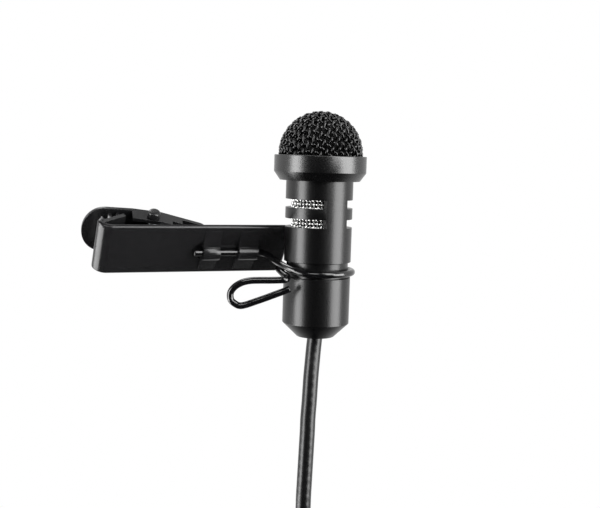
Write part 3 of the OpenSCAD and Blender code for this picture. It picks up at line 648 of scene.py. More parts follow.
def woven_strap():
    # Nylon webbing: each warp and weft thread is a soft ridge, painted lighter on top and darker in
    # the dips (painted highlight and painted shade).
    thread = 0.7 * MM
    made, tree, shader, place = new_material("woven nylon strap", "#232325", 0.8, Sheen_Weight=0.25)
    weave = add_node(tree, "ShaderNodeUVMap", uv_map="weave")
    threads = add_node(tree, "ShaderNodeVectorMath", {0: weave, 1: [math.pi / thread] * 3},
                       operation="MULTIPLY")
    ridges = add_node(tree, "ShaderNodeVectorMath", {0: threads}, operation="SINE")
    parts = add_node(tree, "ShaderNodeSeparateXYZ", {"Vector": ridges})
    over = add_node(tree, "ShaderNodeMath", {0: parts.outputs["X"], 1: parts.outputs["Y"]},
                    operation="MULTIPLY")
    # Painted highlight and shade: the raised threads are lighter, the dips between them darker.
    shade = add_node(tree, "ShaderNodeMapRange", {"Value": over, "From Min": -1.0})
    tone = add_node(tree, "ShaderNodeMix", {"Factor": shade, 6: linear("#161617"),
                                            7: linear("#2f2f31")}, data_type="RGBA")
    bump = add_node(tree, "ShaderNodeBump", {"Height": over, "Distance": 0.12 * MM})
    tree.links.new(tone.outputs[2], shader.inputs["Base Color"])
    tree.links.new(bump.outputs["Normal"], shader.inputs["Normal"])
    return made


FOAM = open_cell_foam()
STRAP = woven_strap()
# Wool fibres pressed flat: matt, with a faint fuzz.
FELT = grained("pressed felt", ("#0e0e0e", "#222222"), 0.15, (0.9, 1.0), 0.03, Sheen_Weight=0.3)
print(len(bpy.data.materials), "materials")

# %% [markdown]
# ## The wire dome
# The dome is flat wire cloth, pressed over a round former. Every wire passes over and under its
# neighbours. Modelling one wire by hand would take longer than writing the rule, so Geometry
# Nodes lay straight wires side by side, wrap the sheet over the dome so that distances from its
# pole are kept, and let each wire rise and fall once in every two spacings.

# %% The dome's sizes
DOME_R, DOME_TOP, DOME_SEAT = 6.3, 6.6, 1.15
WIRE_R, CRIMP = 0.17, 0.24
DOME_UP = DOME_TOP - DOME_R
DOME_SIZES = [
    ("Spacing", "Float", 1.0 * MM), ("Wire radius", "Float", WIRE_R * MM),
    ("Crimp", "Float", CRIMP * MM), ("Dome radius", "Float", (DOME_R - CRIMP - WIRE_R) * MM),
    ("Centre height", "Float", DOME_UP * MM), ("Skirt", "Float", (DOME_UP + DOME_SEAT) * MM),
    ("Wander", "Float", 0.3 * MM), ("Turn", "Float", math.radians(-41)),
    ("Centre", "Vector", MIC), ("Material", "Material", BLACK_CLOTH)]
WIRE_SIDES = 6
WANDER_WIDTH = 2.2


# %% Straight wires on the flat
def laid_wires(tree, sizes, reach, along_y):
    """Parallel wires on the flat, spaced about the origin and cut into short steps."""
    wires_each_side = add_node(tree, "ShaderNodeMath", {0: reach, 1: sizes["Spacing"]},
                               operation="DIVIDE")
    half = add_node(tree, "ShaderNodeMath", {0: wires_each_side}, operation="CEIL")
    count = add_node(tree, "ShaderNodeMath", {0: half, 1: 2.0, 2: 1.0}, operation="MULTIPLY_ADD")
    edge = add_node(tree, "ShaderNodeMath", {0: half, 1: sizes["Spacing"]}, operation="MULTIPLY")
    low = add_node(tree, "ShaderNodeMath", {0: edge, 1: -1.0}, operation="MULTIPLY")
    across, ahead = ("X", "Y") if along_y else ("Y", "X")
    start = add_node(tree, "ShaderNodeCombineXYZ", {across: low})
    step = add_node(tree, "ShaderNodeCombineXYZ", {across: sizes["Spacing"]})
    places = add_node(tree, "GeometryNodeMeshLine",
                      {"Count": count, "Start Location": start, "Offset": step})
    one_end = add_node(tree, "ShaderNodeCombineXYZ", {ahead: low})
    other_end = add_node(tree, "ShaderNodeCombineXYZ", {ahead: edge})
    wire = add_node(tree, "GeometryNodeCurvePrimitiveLine", {"Start": one_end, "End": other_end})
    steps = add_node(tree, "ShaderNodeMath", {0: half, 1: 12.0, 2: 1.0}, operation="MULTIPLY_ADD")
    stepped = add_node(tree, "GeometryNodeResampleCurve", {"Curve": wire, "Count": steps})
    laid = add_node(tree, "GeometryNodeInstanceOnPoints", {"Points": places, "Instance": stepped})
    return add_node(tree, "GeometryNodeRealizeInstances", {0: laid})


# %% Tree: cloth over a dome
cloth, sizes = new_geometry_tree("cloth over a dome", DOME_SIZES)
quarter = add_node(cloth, "ShaderNodeMath", {0: sizes["Dome radius"], 1: math.pi / 2},
                   operation="MULTIPLY")
reach = add_node(cloth, "ShaderNodeMath", {0: quarter, 1: sizes["Skirt"]}, operation="ADD")
families = add_node(cloth, "GeometryNodeJoinGeometry")
for along_y, sign in ((True, 1.0), (False, -1.0)):
    flat = laid_wires(cloth, sizes, reach, along_y)
    at = add_node(cloth, "GeometryNodeInputPosition")
    from_pole = add_node(cloth, "ShaderNodeVectorMath", {0: at},
                         operation="LENGTH").outputs["Value"]
    beyond = add_node(cloth, "FunctionNodeCompare", {0: from_pole, 1: reach},
                      operation="GREATER_THAN")
    trimmed = add_node(cloth, "GeometryNodeDeleteGeometry", {"Geometry": flat, "Selection": beyond})
    # Over and under: the wave's phase depends on the sum of both coordinates, and the two
    # families of wires take opposite signs, so they pass each other at every crossing.
    both = add_node(cloth, "ShaderNodeVectorMath", {0: at, 1: (1, 1, 0)}, operation="DOT_PRODUCT")
    cells = add_node(cloth, "ShaderNodeMath", {0: both.outputs["Value"], 1: sizes["Spacing"]},
                     operation="DIVIDE")
    phase = add_node(cloth, "ShaderNodeMath", {0: cells, 1: math.pi}, operation="MULTIPLY")
    wave = add_node(cloth, "ShaderNodeMath", {0: phase}, operation="COSINE")
    rise = add_node(cloth, "ShaderNodeMath", {0: wave, 1: sizes["Crimp"]}, operation="MULTIPLY")
    signed = add_node(cloth, "ShaderNodeMath", {0: rise, 1: sign}, operation="MULTIPLY")
    height = add_node(cloth, "ShaderNodeMath", {0: sizes["Dome radius"], 1: signed},
                      operation="ADD")
    # Pressing pushes the wires about a little.
    drift = add_node(cloth, "ShaderNodeTexNoise",
                     {"Vector": at, "Scale": 1 / (WANDER_WIDTH * MM), "Detail": 1.0})
    centred = add_node(cloth, "ShaderNodeVectorMath",
                       {0: drift.outputs["Color"], 1: (0.5, 0.5, 0.5)}, operation="SUBTRACT")
    flattened = add_node(cloth, "ShaderNodeVectorMath", {0: centred, 1: (2, 2, 0)},
                         operation="MULTIPLY")
    pushed = add_node(cloth, "ShaderNodeVectorMath", {0: flattened, "Scale": sizes["Wander"]},
                      operation="SCALE")
    moved = add_node(cloth, "ShaderNodeVectorMath", {0: at, 1: pushed}, operation="ADD")
    distance = add_node(cloth, "ShaderNodeVectorMath", {0: moved}, operation="LENGTH")
    heading = add_node(cloth, "ShaderNodeVectorMath", {0: moved}, operation="NORMALIZE")
    angle = add_node(cloth, "ShaderNodeMath",
                     {0: distance.outputs["Value"], 1: sizes["Dome radius"]}, operation="DIVIDE")
    polar = add_node(cloth, "ShaderNodeMath", {0: angle, 1: math.pi / 2}, operation="MINIMUM")
    sine = add_node(cloth, "ShaderNodeMath", {0: polar}, operation="SINE")
    cosine = add_node(cloth, "ShaderNodeMath", {0: polar}, operation="COSINE")
    outward = add_node(cloth, "ShaderNodeVectorMath", {0: heading, "Scale": sine},
                       operation="SCALE")
    upward = add_node(cloth, "ShaderNodeCombineXYZ", {"Z": cosine})
    normal = add_node(cloth, "ShaderNodeVectorMath", {0: outward, 1: upward}, operation="ADD")
    on_dome = add_node(cloth, "ShaderNodeVectorMath", {0: normal, "Scale": height},
                       operation="SCALE")
    past = add_node(cloth, "ShaderNodeMath", {0: distance.outputs["Value"], 1: quarter},
                    operation="SUBTRACT")
    drop = add_node(cloth, "ShaderNodeMath", {0: past, 1: 0.0}, operation="MAXIMUM")
    level = add_node(cloth, "ShaderNodeMath", {0: sizes["Centre height"], 1: drop},
                     operation="SUBTRACT")
    lift = add_node(cloth, "ShaderNodeCombineXYZ", {"Z": level})
    lifted = add_node(cloth, "ShaderNodeVectorMath", {0: on_dome, 1: lift}, operation="ADD")
    turned = add_node(cloth, "ShaderNodeVectorRotate", {"Vector": lifted, "Angle": sizes["Turn"]},
                      rotation_type="Z_AXIS")
    placed = add_node(cloth, "ShaderNodeVectorMath", {0: turned, 1: sizes["Centre"]},
                      operation="ADD")
    bent = add_node(cloth, "GeometryNodeSetPosition", {"Geometry": trimmed, "Position": placed})
    section = add_node(cloth, "GeometryNodeCurvePrimitiveCircle",
                       {"Resolution": WIRE_SIDES, "Radius": sizes["Wire radius"]})
    wires = add_node(cloth, "GeometryNodeCurveToMesh",
                     {"Curve": bent, "Profile Curve": section, "Fill Caps": True})
    cloth.links.new(wires.outputs[0], families.inputs[0])
smooth = add_node(cloth, "GeometryNodeSetShadeSmooth", {0: families})
whole = add_node(cloth, "GeometryNodeRealizeInstances", {0: smooth})
finished = add_node(cloth, "GeometryNodeSetMaterial",
                    {"Geometry": whole, "Material": sizes["Material"]})
add_node(cloth, "NodeGroupOutput", {0: finished})

# %% Dome and foam
FOAM_GAP, FOAM_T, FOAM_FOOT = 0.08, 0.8, -1.1

dome = made_by_nodes("grille_dome_woven", cloth, DOME_SIZES)

foam_out = DOME_R - 2 * (CRIMP + WIRE_R) - FOAM_GAP
foam_in = foam_out - FOAM_T
foam_corners = []
for r, degrees in ((foam_out, range(0, 91, 6)), (foam_in, range(90, -1, -6))):
    foam_corners += [(r * math.cos(math.radians(a)), DOME_UP + r * math.sin(math.radians(a)), 0)
                     for a in degrees]
foam_corners += [(foam_in, FOAM_FOOT, 0.1), (foam_out, FOAM_FOOT, 0.1)]
foam = turned_piece("grille_foam_liner", foam_corners, MIC, 96)
print("dome", len(dome.data.polygons), "faces")

# %% [markdown]
# ## The bright mesh behind the slots
# A rolled tube of stainless wire cloth keeps dust out of the sound slots. It is the same weave
# wrapped the other way: upright wires round a circle, hoops up its height, and one wave that
# depends on the angle and on the height. A black sheet stands inside it as painted shade, so its gaps
# are dark.

# %% The bright mesh's sizes
SCREEN_R, SCREEN_PLAY = 4.15, 0.1
MESH_R = 0.13
screen_low, screen_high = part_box("port_screen")
screen_foot = Vector((AXIS.x, AXIS.y, screen_low.z + SCREEN_PLAY * MM))
SCREEN_SIZES = [
    ("Wires round", "Int", 44), ("Spacing", "Float", 0.56 * MM), ("Hoops", "Int", 8),
    ("Wire radius", "Float", MESH_R * MM), ("Tube radius", "Float", (SCREEN_R - 2 * MESH_R) * MM),
    ("Foot", "Vector", screen_foot), ("Material", "Material", BRIGHT_CLOTH)]

# %% Tree: cloth round a tube
tube, sizes = new_geometry_tree("cloth round a tube", SCREEN_SIZES)
tall = add_node(tube, "ShaderNodeMath", {0: sizes["Hoops"], 1: sizes["Spacing"]},
                operation="MULTIPLY")
top = add_node(tube, "ShaderNodeCombineXYZ", {"Z": tall})
upright = add_node(tube, "GeometryNodeCurvePrimitiveLine", {"End": top})
upright_steps = add_node(tube, "ShaderNodeMath", {0: sizes["Hoops"], 1: 6.0, 2: 1.0},
                         operation="MULTIPLY_ADD")
stepped = add_node(tube, "GeometryNodeResampleCurve", {"Curve": upright, "Count": upright_steps})
round_places = add_node(tube, "GeometryNodeMeshCircle",
                        {"Vertices": sizes["Wires round"], "Radius": 1.0})
uprights = add_node(tube, "GeometryNodeInstanceOnPoints",
                    {"Points": round_places, "Instance": stepped})
hoop_steps = add_node(tube, "ShaderNodeMath", {0: sizes["Wires round"], 1: 6.0},
                      operation="MULTIPLY")
hoop = add_node(tube, "GeometryNodeCurvePrimitiveCircle", {"Resolution": hoop_steps, "Radius": 1.0})
rise = add_node(tube, "ShaderNodeCombineXYZ", {"Z": sizes["Spacing"]})
levels = add_node(tube, "GeometryNodeMeshLine",
                  {"Count": sizes["Hoops"], "Start Location": rise, "Offset": rise})
hoops = add_node(tube, "GeometryNodeInstanceOnPoints", {"Points": levels, "Instance": hoop})
families = add_node(tube, "GeometryNodeJoinGeometry")
for wires, sign in ((uprights, 1.0), (hoops, -1.0)):
    real = add_node(tube, "GeometryNodeRealizeInstances", {0: wires})
    at = add_node(tube, "GeometryNodeInputPosition")
    parts = add_node(tube, "ShaderNodeSeparateXYZ", {"Vector": at})
    angle = add_node(tube, "ShaderNodeMath", {0: parts.outputs["Y"], 1: parts.outputs["X"]},
                     operation="ARCTAN2")
    half_count = add_node(tube, "ShaderNodeMath", {0: sizes["Wires round"], 1: 0.5},
                          operation="MULTIPLY")
    cells_up = add_node(tube, "ShaderNodeMath", {0: parts.outputs["Z"], 1: sizes["Spacing"]},
                        operation="DIVIDE")
    phase_up = add_node(tube, "ShaderNodeMath", {0: cells_up, 1: math.pi}, operation="MULTIPLY")
    phase = add_node(tube, "ShaderNodeMath", {0: angle, 1: half_count, 2: phase_up},
                     operation="MULTIPLY_ADD")
    wave = add_node(tube, "ShaderNodeMath", {0: phase}, operation="COSINE")
    swing = add_node(tube, "ShaderNodeMath", {0: sizes["Wire radius"], 1: sign},
                     operation="MULTIPLY")
    radius = add_node(tube, "ShaderNodeMath", {0: wave, 1: swing, 2: sizes["Tube radius"]},
                      operation="MULTIPLY_ADD")
    level_place = add_node(tube, "ShaderNodeVectorMath", {0: at, 1: (1, 1, 0)},
                           operation="MULTIPLY")
    out = add_node(tube, "ShaderNodeVectorMath", {0: level_place}, operation="NORMALIZE")
    rolled = add_node(tube, "ShaderNodeVectorMath", {0: out, "Scale": radius}, operation="SCALE")
    upwards = add_node(tube, "ShaderNodeCombineXYZ", {"Z": parts.outputs["Z"]})
    stood = add_node(tube, "ShaderNodeVectorMath", {0: rolled, 1: upwards}, operation="ADD")
    placed = add_node(tube, "ShaderNodeVectorMath", {0: stood, 1: sizes["Foot"]}, operation="ADD")
    bent = add_node(tube, "GeometryNodeSetPosition", {"Geometry": real, "Position": placed})
    section = add_node(tube, "GeometryNodeCurvePrimitiveCircle",
                       {"Resolution": WIRE_SIDES, "Radius": sizes["Wire radius"]})
    drawn = add_node(tube, "GeometryNodeCurveToMesh",
                     {"Curve": bent, "Profile Curve": section, "Fill Caps": True})
    tube.links.new(drawn.outputs[0], families.inputs[0])
smooth = add_node(tube, "GeometryNodeSetShadeSmooth", {0: families})
whole = add_node(tube, "GeometryNodeRealizeInstances", {0: smooth})
finished = add_node(tube, "GeometryNodeSetMaterial",
                    {"Geometry": whole, "Material": sizes["Material"]})
add_node(tube, "NodeGroupOutput", {0: finished})

# %% Bright mesh and the dark sheet inside it
SHADE_SHEET_GAP, SHADE_SHEET_T = 0.05, 0.15

screen = made_by_nodes("port_screen_woven", tube, SCREEN_SIZES)

# Painted shade: a black sheet inside the mesh, so that its gaps read dark.
shade_sheet_r = SCREEN_R - 4 * MESH_R - SHADE_SHEET_GAP
shade_sheet_low = (screen_low.z - MIC.z) / MM + SCREEN_PLAY
shade_sheet_high = (screen_high.z - MIC.z) / MM - SCREEN_PLAY
shade_sheet = turned_piece("port_screen_shade_sheet", [
    (shade_sheet_r, shade_sheet_high, 0.03), (shade_sheet_r, shade_sheet_low, 0.03),
    (shade_sheet_r - SHADE_SHEET_T, shade_sheet_low, 0.03), (shade_sheet_r - SHADE_SHEET_T, shade_sheet_high, 0.03)], MIC, 64)
print("screen", len(screen.data.polygons), "faces")

# %% [markdown]
# ## The wire holder
# One length of 1 mm spring wire does it all: a shank that turns in the clip's two straps, a
# bend down to the body, a ring that snaps into the groove, and a flat loop for a fingertip.

# %% Wire holder
WIRE_D, WIRE_STEP = 1.0, 0.2
RING_PLAY, RING_SAG = 0.1, 0.35
RING_WIRE_R = BODY_R - GROOVE_IN + RING_PLAY + WIRE_D / 2
RING_Z = -(GROOVE_TOP + GROOVE_H / 2) - RING_SAG
SHANK_Z = RING_Z + 2.15
SHANK_OFF = 6.5
CLIP_END = -2.4
# The shank's places are distances beyond the clip's end and to the side of its own line. Those of
# the strand and the tail are a distance beyond the ring, an angle and a height. Those of the loop
# are distances beyond the ring, to the side and up.
SHANK = [(14.8, 0), (11, 0), (8, 0), (5, 0), (4.5, -0.1)]
STRAND = [(3.23, 138.4, 1.95), (2.24, 143.7, 1.73), (1.42, 153, 1.48), (0.84, 165.6, 1.27),
          (0.55, 180, 1.04), (0.4, 193.4, 0.76), (0.21, 206.3, 0.48), (0.05, 217, 0.24),
          (0, 228, 0.08), (0, 238, 0)]
TAIL = [(0, 465, 0), (0.03, 478, 0.05), (0.3, 495, 0.18), (0.5, 512, 0.2), (0.6, 527, 0.16),
        (0.62, 541, 0), (0.62, 551, -0.3), (0.66, 560, -0.55)]
LOOP = [(0.55, -2.55, -0.8), (0.9, -2.9, -0.87), (1.4, -2.9, -0.91), (3, -2.3, -1),
        (4.3, -1.75, -1.05), (5.7, -1.2, -1.15), (6.8, -0.8, -1.45), (7.7, -0.4, -2.05),
        (8.25, -0.2, -2.8), (8.35, -0.15, -3.45), (8.2, -0.25, -4.1), (7.65, -0.45, -4.6),
        (7.05, -0.7, -4.85), (6.25, -1, -4.7), (5, -1.5, -4.2), (3.65, -2, -3.65),
        (2.3, -2.55, -3.05), (1.25, -2.95, -2.6), (0.4, -3.3, -2.2)]


def round_the_body(beyond, angle, above):
    """A place of the wire from its distance beyond the ring, its angle and its height."""
    r, a = RING_WIRE_R + beyond, math.radians(angle)
    return Vector((r * math.cos(a), r * math.sin(a), RING_Z + above))


wire = [Vector((CLIP_END - x, SHANK_OFF + y, SHANK_Z)) for x, y in SHANK]
wire += [round_the_body(*place) for place in STRAND]
wire += [round_the_body(0, angle, 0) for angle in range(245, 461, 9)]
wire += [round_the_body(*place) for place in TAIL]
wire += [Vector((-RING_WIRE_R - x, y, RING_Z + z)) for x, y, z in LOOP]
wire_line = even_line(smooth_line([MIC + p * MM for p in wire], 12), WIRE_STEP * MM)
holder = swept_tube("mic_holder_wire", wire_line, WIRE_D / 2 * MM, 24, 0.12 * MM)
print("holder wire", round(WIRE_STEP * len(wire_line), 1), "mm long")

# %% [markdown]
# ## Pressed and machined pieces from the CAD solids
# Where a solid already has the right shape, its copy only needs softer edges. The loose
# triangles are merged, flat areas become single faces, and a bevel breaks each sharp edge by
# the amount that a press or a tumbling barrel leaves.

# %% Softened copies
WELD, FLAT = 0.0005, math.radians(1)


def softened(node, name, width, steps=2, rolled=None):
    """A copy of a CAD node with its sharp edges broken by width, in mm. rolled names the edges
    that the press has rolled over: a test of an edge, and the radius."""
    source = frame["nodes"][node]
    mesh = source.data.copy()
    mesh.materials.clear()
    work = bmesh.new()
    work.from_mesh(mesh)
    bmesh.ops.remove_doubles(work, verts=work.verts, dist=WELD * MM)
    bmesh.ops.dissolve_limit(work, angle_limit=FLAT, verts=work.verts, edges=work.edges)
    if rolled:
        test, radius = rolled
        sharp = [edge for edge in work.edges if len(edge.link_faces) == 2
                 and edge.calc_face_angle() > SHARP and test(edge)]
        bmesh.ops.bevel(work, geom=sharp, offset=radius * MM, offset_type="OFFSET", segments=5,
                        profile=0.5, affect="EDGES", clamp_overlap=False)
    work.to_mesh(mesh)
    work.free()
    mesh.shade_smooth()
    piece = bpy.data.objects.new(name, mesh)
    bpy.context.scene.collection.objects.link(piece)
    return broken_edges(piece, width, steps)


# %% The plate's rolled rim
PLATE_HALF, PLATE_END, PLATE_CORNER = 4.5, 29.4, 0.6
NEAR = 0.01
in_clip = CLIP.inverted()


def on_plate_rim(edge):
    """Whether an edge lies on the rim of the plate's outer face, seen in the clip's frame."""
    ends = [in_clip @ v.co / MM for v in edge.verts]
    on_rim = all(abs(p.z) > PLATE_HALF - NEAR
                 or (p.x > PLATE_END - PLATE_CORNER - NEAR and p.y < NEAR) for p in ends)
    from_pin = (ends[0] + ends[1]) / 2 - PIN / MM
    sides = [in_clip.to_3x3() @ face.normal for face in edge.link_faces]
    return on_rim and any(abs(n.z) < 0.1 and n.dot(from_pin) > 0 for n in sides)


plate = softened("clip_plate", "clip_plate_pressed", 0.08, rolled=(on_plate_rim, 0.45))
print("plate", len(plate.data.polygons), "faces")

# %% The other softened pieces
jaw = softened("jaw_lever", "jaw_lever_pressed", 0.2, 3)
shell = softened("plug_shell", "plug_shell_turned", 0.12)
nut = softened("plug_nut", "plug_nut_turned", 0.08)
boot = softened("plug_boot", "plug_boot_moulded", 0.1)
latch = softened("latch_button", "latch_button_cast", 0.08)
insert = softened("plug_insert", "plug_insert_moulded", 0.06)
contacts = softened("plug_contacts", "plug_contacts_turned", 0.05)
grommet = softened("cable_grommet", "cable_grommet_moulded", 0.06)
felt = softened("capsule_felt", "capsule_felt_disc", 0.1)
print("barrel", len(shell.data.polygons), "faces, nut", len(nut.data.polygons), "faces")

# %% [markdown]
# ## The hinge pin
# A rivet: a plain pin whose two ends are spun over into low round heads. It is turned like the
# other round pieces, lying along z in the clip's own frame, and then put in its place.

# %% Hinge pin
PIN_R, HEAD_R, HEAD_END_R, HEAD_H = 0.45, 1.0, 0.85, 0.95
pin_end = max((in_clip @ v.co).z for v in frame["nodes"]["hinge_pin"].data.vertices) / MM
neck = pin_end - HEAD_H
pin_corners = [(0, -pin_end, 0), (HEAD_END_R, -pin_end, 0.35), (HEAD_R, -neck, 0.15),
               (PIN_R, -neck, 0), (PIN_R, neck, 0), (HEAD_R, neck, 0.15),
               (HEAD_END_R, pin_end, 0.35), (0, pin_end, 0)]
pin = turned_piece("hinge_pin_riveted", pin_corners, Vector((0, 0, 0)), 64, 5)
pin.data.transform(CLIP @ Matrix.Translation(PIN))
print("pin", round(2 * pin_end, 2), "mm long")

# %% [markdown]
# ## Two springs
# The clip's spring winds round the pin, between an arm on the plate and an arm on the jaw. The
# latch's spring is a leaf, held at its foot and pushed in by the button. Each joins two bodies,
# so each is one fixed mesh that rides on neither. The real wire twists and the real leaf bends.

# %% Clip spring
SPRING_D, COIL_R, COIL_TURNS, COIL_STEPS = 0.3, 0.7, 1.5, 36
PLATE_SIDE, JAW_SIDE = 3.079, 1.95
PLATE_ARM = [(12.5, 0.82), (11.5, 0.95)]
JAW_ARM = [(11.5, 3.56), (12.5, 3.455)]

spring_line = [Vector((x, y, PLATE_SIDE)) for x, y in PLATE_ARM]
for k in range(COIL_STEPS + 1):
    angle = -TURN / 4 - COIL_TURNS * TURN * k / COIL_STEPS
    depth = PLATE_SIDE + (JAW_SIDE - PLATE_SIDE) * k / COIL_STEPS
    spring_line.append(PIN / MM + Vector((COIL_R * math.cos(angle), COIL_R * math.sin(angle), depth)))
spring_line += [Vector((x, y, JAW_SIDE)) for x, y in JAW_ARM]
coil = swept_tube("clip_spring_wound", even_line([CLIP @ (p * MM) for p in spring_line], 0.12 * MM),
                  SPRING_D / 2 * MM, 12, 0.03 * MM)
print("clip spring", COIL_TURNS, "turns, on a line of", len(spring_line), "points")

# %% Latch spring
LEAF_BENDS = 16
leaf_low, leaf_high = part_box("latch_spring")
strip = bmesh.new()
bmesh.ops.create_cube(strip, size=1)
bmesh.ops.scale(strip, vec=leaf_high - leaf_low, verts=strip.verts)
bmesh.ops.translate(strip, vec=(leaf_low + leaf_high) / 2, verts=strip.verts)
upright = [edge for edge in strip.edges if abs(edge.verts[0].co.z - edge.verts[1].co.z) > MM]
bmesh.ops.subdivide_edges(strip, edges=upright, cuts=LEAF_BENDS, use_grid_fill=True)
strip_mesh = bpy.data.meshes.new("leaf")
strip.to_mesh(strip_mesh)
strip.free()
leaf = bpy.data.objects.new("latch_spring_leaf", strip_mesh)
bpy.context.scene.collection.objects.link(leaf)
broken_edges(leaf, 0.05)
print("leaf", round((leaf_high - leaf_low).z / MM, 1), "mm long")

# %% [markdown]
# ## The tie round the hank
# A strip of webbing holds the hank. It goes once round and laps over itself at the front, where
# its hooks grip its loops. So it is one strip swept along an even line round the hank, and its
# last stretch climbs by its own thickness. The UV map holds metres along and across, for the
# weave.

# %% Hank tie
tie_low, tie_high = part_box("hank_tie")
tie_centre = (tie_low + tie_high) / 2
tie_half = (tie_high - tie_low) / 2
TIE_T, TIE_CLIMB, TIE_LAP = 0.9 * MM, 6 * MM, 14 * MM
EDGE_ROUND, LAP_GAP = 0.22 * MM, 0.05 * MM
TIE_START = math.radians(240)
TIE_STEP = 0.4 * MM
SQUARENESS = 0.42
ROUND_POINTS, EDGE_POINTS = 1440, 9


def once_round():
    """An even line round the hank. A superellipse has nearly flat sides and round corners."""
    points = []
    for k in range(ROUND_POINTS + 1):
        angle = TIE_START + TURN * k / ROUND_POINTS
        c, s = math.cos(angle), math.sin(angle)
        points.append(Vector((math.copysign(abs(c) ** SQUARENESS, c) * (tie_half.x - TIE_T / 2),
                              math.copysign(abs(s) ** SQUARENESS, s) * (tie_half.y - TIE_T / 2), 0)))
    return even_line(points, TIE_STEP)[:-1]


def webbing_section():
    """The strip's own section: how far out and how far up, round its rounded edges."""
    outer = []
    for j in range(EDGE_POINTS + 1):
        v = 2 * j / EDGE_POINTS - 1
        outer.append((TIE_T / 2 - EDGE_ROUND * v ** 6, v * tie_half.z))
    return outer + [(-out, up) for out, up in reversed(outer)]


def lapped_webbing(name):
    """The strip, carried once round and then over its own start, with its UV map in metres."""
    round_places, section = once_round(), webbing_section()
    count, sides = len(round_places), len(section)
    stations = count + round(TIE_LAP / TIE_STEP)
    climb = round(TIE_CLIMB / TIE_STEP)
    vertices, along = [], []
    for i in range(stations):
        ahead = round_places[(i + 1) % count] - round_places[(i - 1) % count]
        outward = Vector((ahead.y, -ahead.x, 0)).normalized()
        lift = (TIE_T + LAP_GAP) * eased(min(max((i - count + climb) / climb, 0), 1))
        for out, up in section:
            vertices.append(tie_centre + round_places[i % count] + outward * (out + lift)
                            + Vector((0, 0, up)))
            along.append((i * TIE_STEP, up))
    faces = [(i * sides + j, (i + 1) * sides + j, (i + 1) * sides + (j + 1) % sides,
              i * sides + (j + 1) % sides) for i in range(stations - 1) for j in range(sides)]
    faces += [tuple(range(sides)), tuple((stations - 1) * sides + j for j in range(sides))[::-1]]
    band = new_mesh_object(name, vertices, faces)
    uv = band.data.uv_layers.new(name="weave")
    for loop in band.data.loops:
        uv.data[loop.index].uv = along[loop.vertex_index]
    return band


tie = lapped_webbing("hank_tie_webbing")
print("tie", [round(2 * c / MM, 1) for c in tie_half], "mm")

# %% [markdown]
# ## Dress every piece
# Each new piece takes a material, rides on the body that carries it and stands for its CAD node.
# The nodes whose shape is already right keep it, and get their finish in their own slots. The
# pieces that the cable carries are gathered in a list.

# %% Dressing one piece
def dress(piece, material, body, node):
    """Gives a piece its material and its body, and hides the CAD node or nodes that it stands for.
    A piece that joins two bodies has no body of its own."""
    piece.data.materials.clear()
    piece.data.materials.append(material)
    if body:
        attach(piece, body)
    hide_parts(*([node] if isinstance(node, str) else node))


# %% Microphone, clip, cable and plug
dress(dome, BLACK_CLOTH, "mic", "grille_dome")
dress(foam, FOAM, "mic", "grille_foam")
dress(head_ring, COARSE_ANODISED, "mic", "head_ring")
dress(body_tube, FINE_ANODISED, "mic", "body_tube")
dress(screen, BRIGHT_CLOTH, "mic", "port_screen")
dress(shade_sheet, FELT, "mic", "port_screen")
dress(grommet, BLACK_RUBBER, "mic", "cable_grommet")
dress(felt, FELT, "mic", "capsule_felt")
dress(plate, ENAMEL, "clip", "clip_plate")
dress(pin, ENAMEL, "clip", "hinge_pin")
dress(jaw, ENAMEL, "jaw", "jaw_lever")
dress(holder, SPRING_WIRE, "holder", "mic_holder")
dress(cable, CABLE_RUBBER, "mic", ["cable", "cable_hank"])
dress(tie, STRAP, "mic", "hank_tie")
dress(boot, BLACK_RUBBER, "mic", "plug_boot")
dress(nut, BLACK_CHROME, "mic", "plug_nut")
dress(shell, BLACK_CHROME, "mic", "plug_shell")
dress(insert, BLACK_NYLON, "mic", "plug_insert")
dress(contacts, GOLD, "mic", "plug_contacts")
dress(latch, NICKEL, "latch", "latch_button")
print("microphone, clip, cable and plug are dressed")

# %% Springs that join two bodies
dress(coil, STEEL, None, "clip_spring")
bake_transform(coil)

dress(leaf, STEEL, None, "latch_spring")
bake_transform(leaf)

# %% Nodes that keep their CAD shape
KEPT = {"capsule_can": CAN_METAL, "capsule_board": BOARD_BLACK, "capsule_boot": BLACK_RUBBER,
        "capsule_leads": LEAD_PVC, "preamp_board": BOARD_BLACK, "board_parts": CHIP_EPOXY,
        "cable_cores": CORE_PVC, "cable_ferrule": CRIMP_METAL, "plug_clamp": CLAMP_ACETAL,
        "plug_cores": CORE_PVC}
for node, material in KEPT.items():
    kept = frame["nodes"][node]
    kept.data.materials.clear()
    kept.data.materials.append(material)
print(len(KEPT), "nodes keep their shape")

# %% The cord
on_cable = [tie, boot, nut, shell, insert, contacts, latch, leaf]
on_cable += [frame["nodes"][node] for node in ("plug_clamp", "plug_cores")]
print("the cable carries", len(on_cable), "pieces")

# %% [markdown]
# ## Studio
# A black object on white is lit from its sides. Two tall soft boxes stand left and right of the
# camera, and each draws one broad upright highlight on the turned metal. The space between
# them stays dark, which gives the black its depth. Smaller boxes each draw one thing: the low
# left one lights the clip's bend, the high right one its rolled upper edge, the high front one
# the line along the wire loop, and the high left one stands behind and puts glints on the dome.
# The sheet behind is white to the camera. Reflections see it too, but fading out towards the
# camera's side and straight down, where a real sheet ends. The floor is pale and keeps its shadow.

# %% The sheet behind
# A reflection finds its place on the sheet by how far back it looks. A look to a side adds to
# that, and a look up or down takes from it.
SIDE_GAIN = 0.5
RISE_LOSS, FALL_LOSS = 0.6, 0.95
# From one of these places to the other, the sheet goes from nearly black to nearly white.
SHEET_END, SHEET_START = -0.7, 0.35
SHEET_DIM, SHEET_BRIGHT = 0.01, 0.85
# What the room gives to a matt surface.
FILL = 0.22

scene = bpy.context.scene
scene.view_settings.view_transform = "Standard"
back = turn @ Vector((0, 1, 0))
side = turn @ Vector((1, 0, 0))

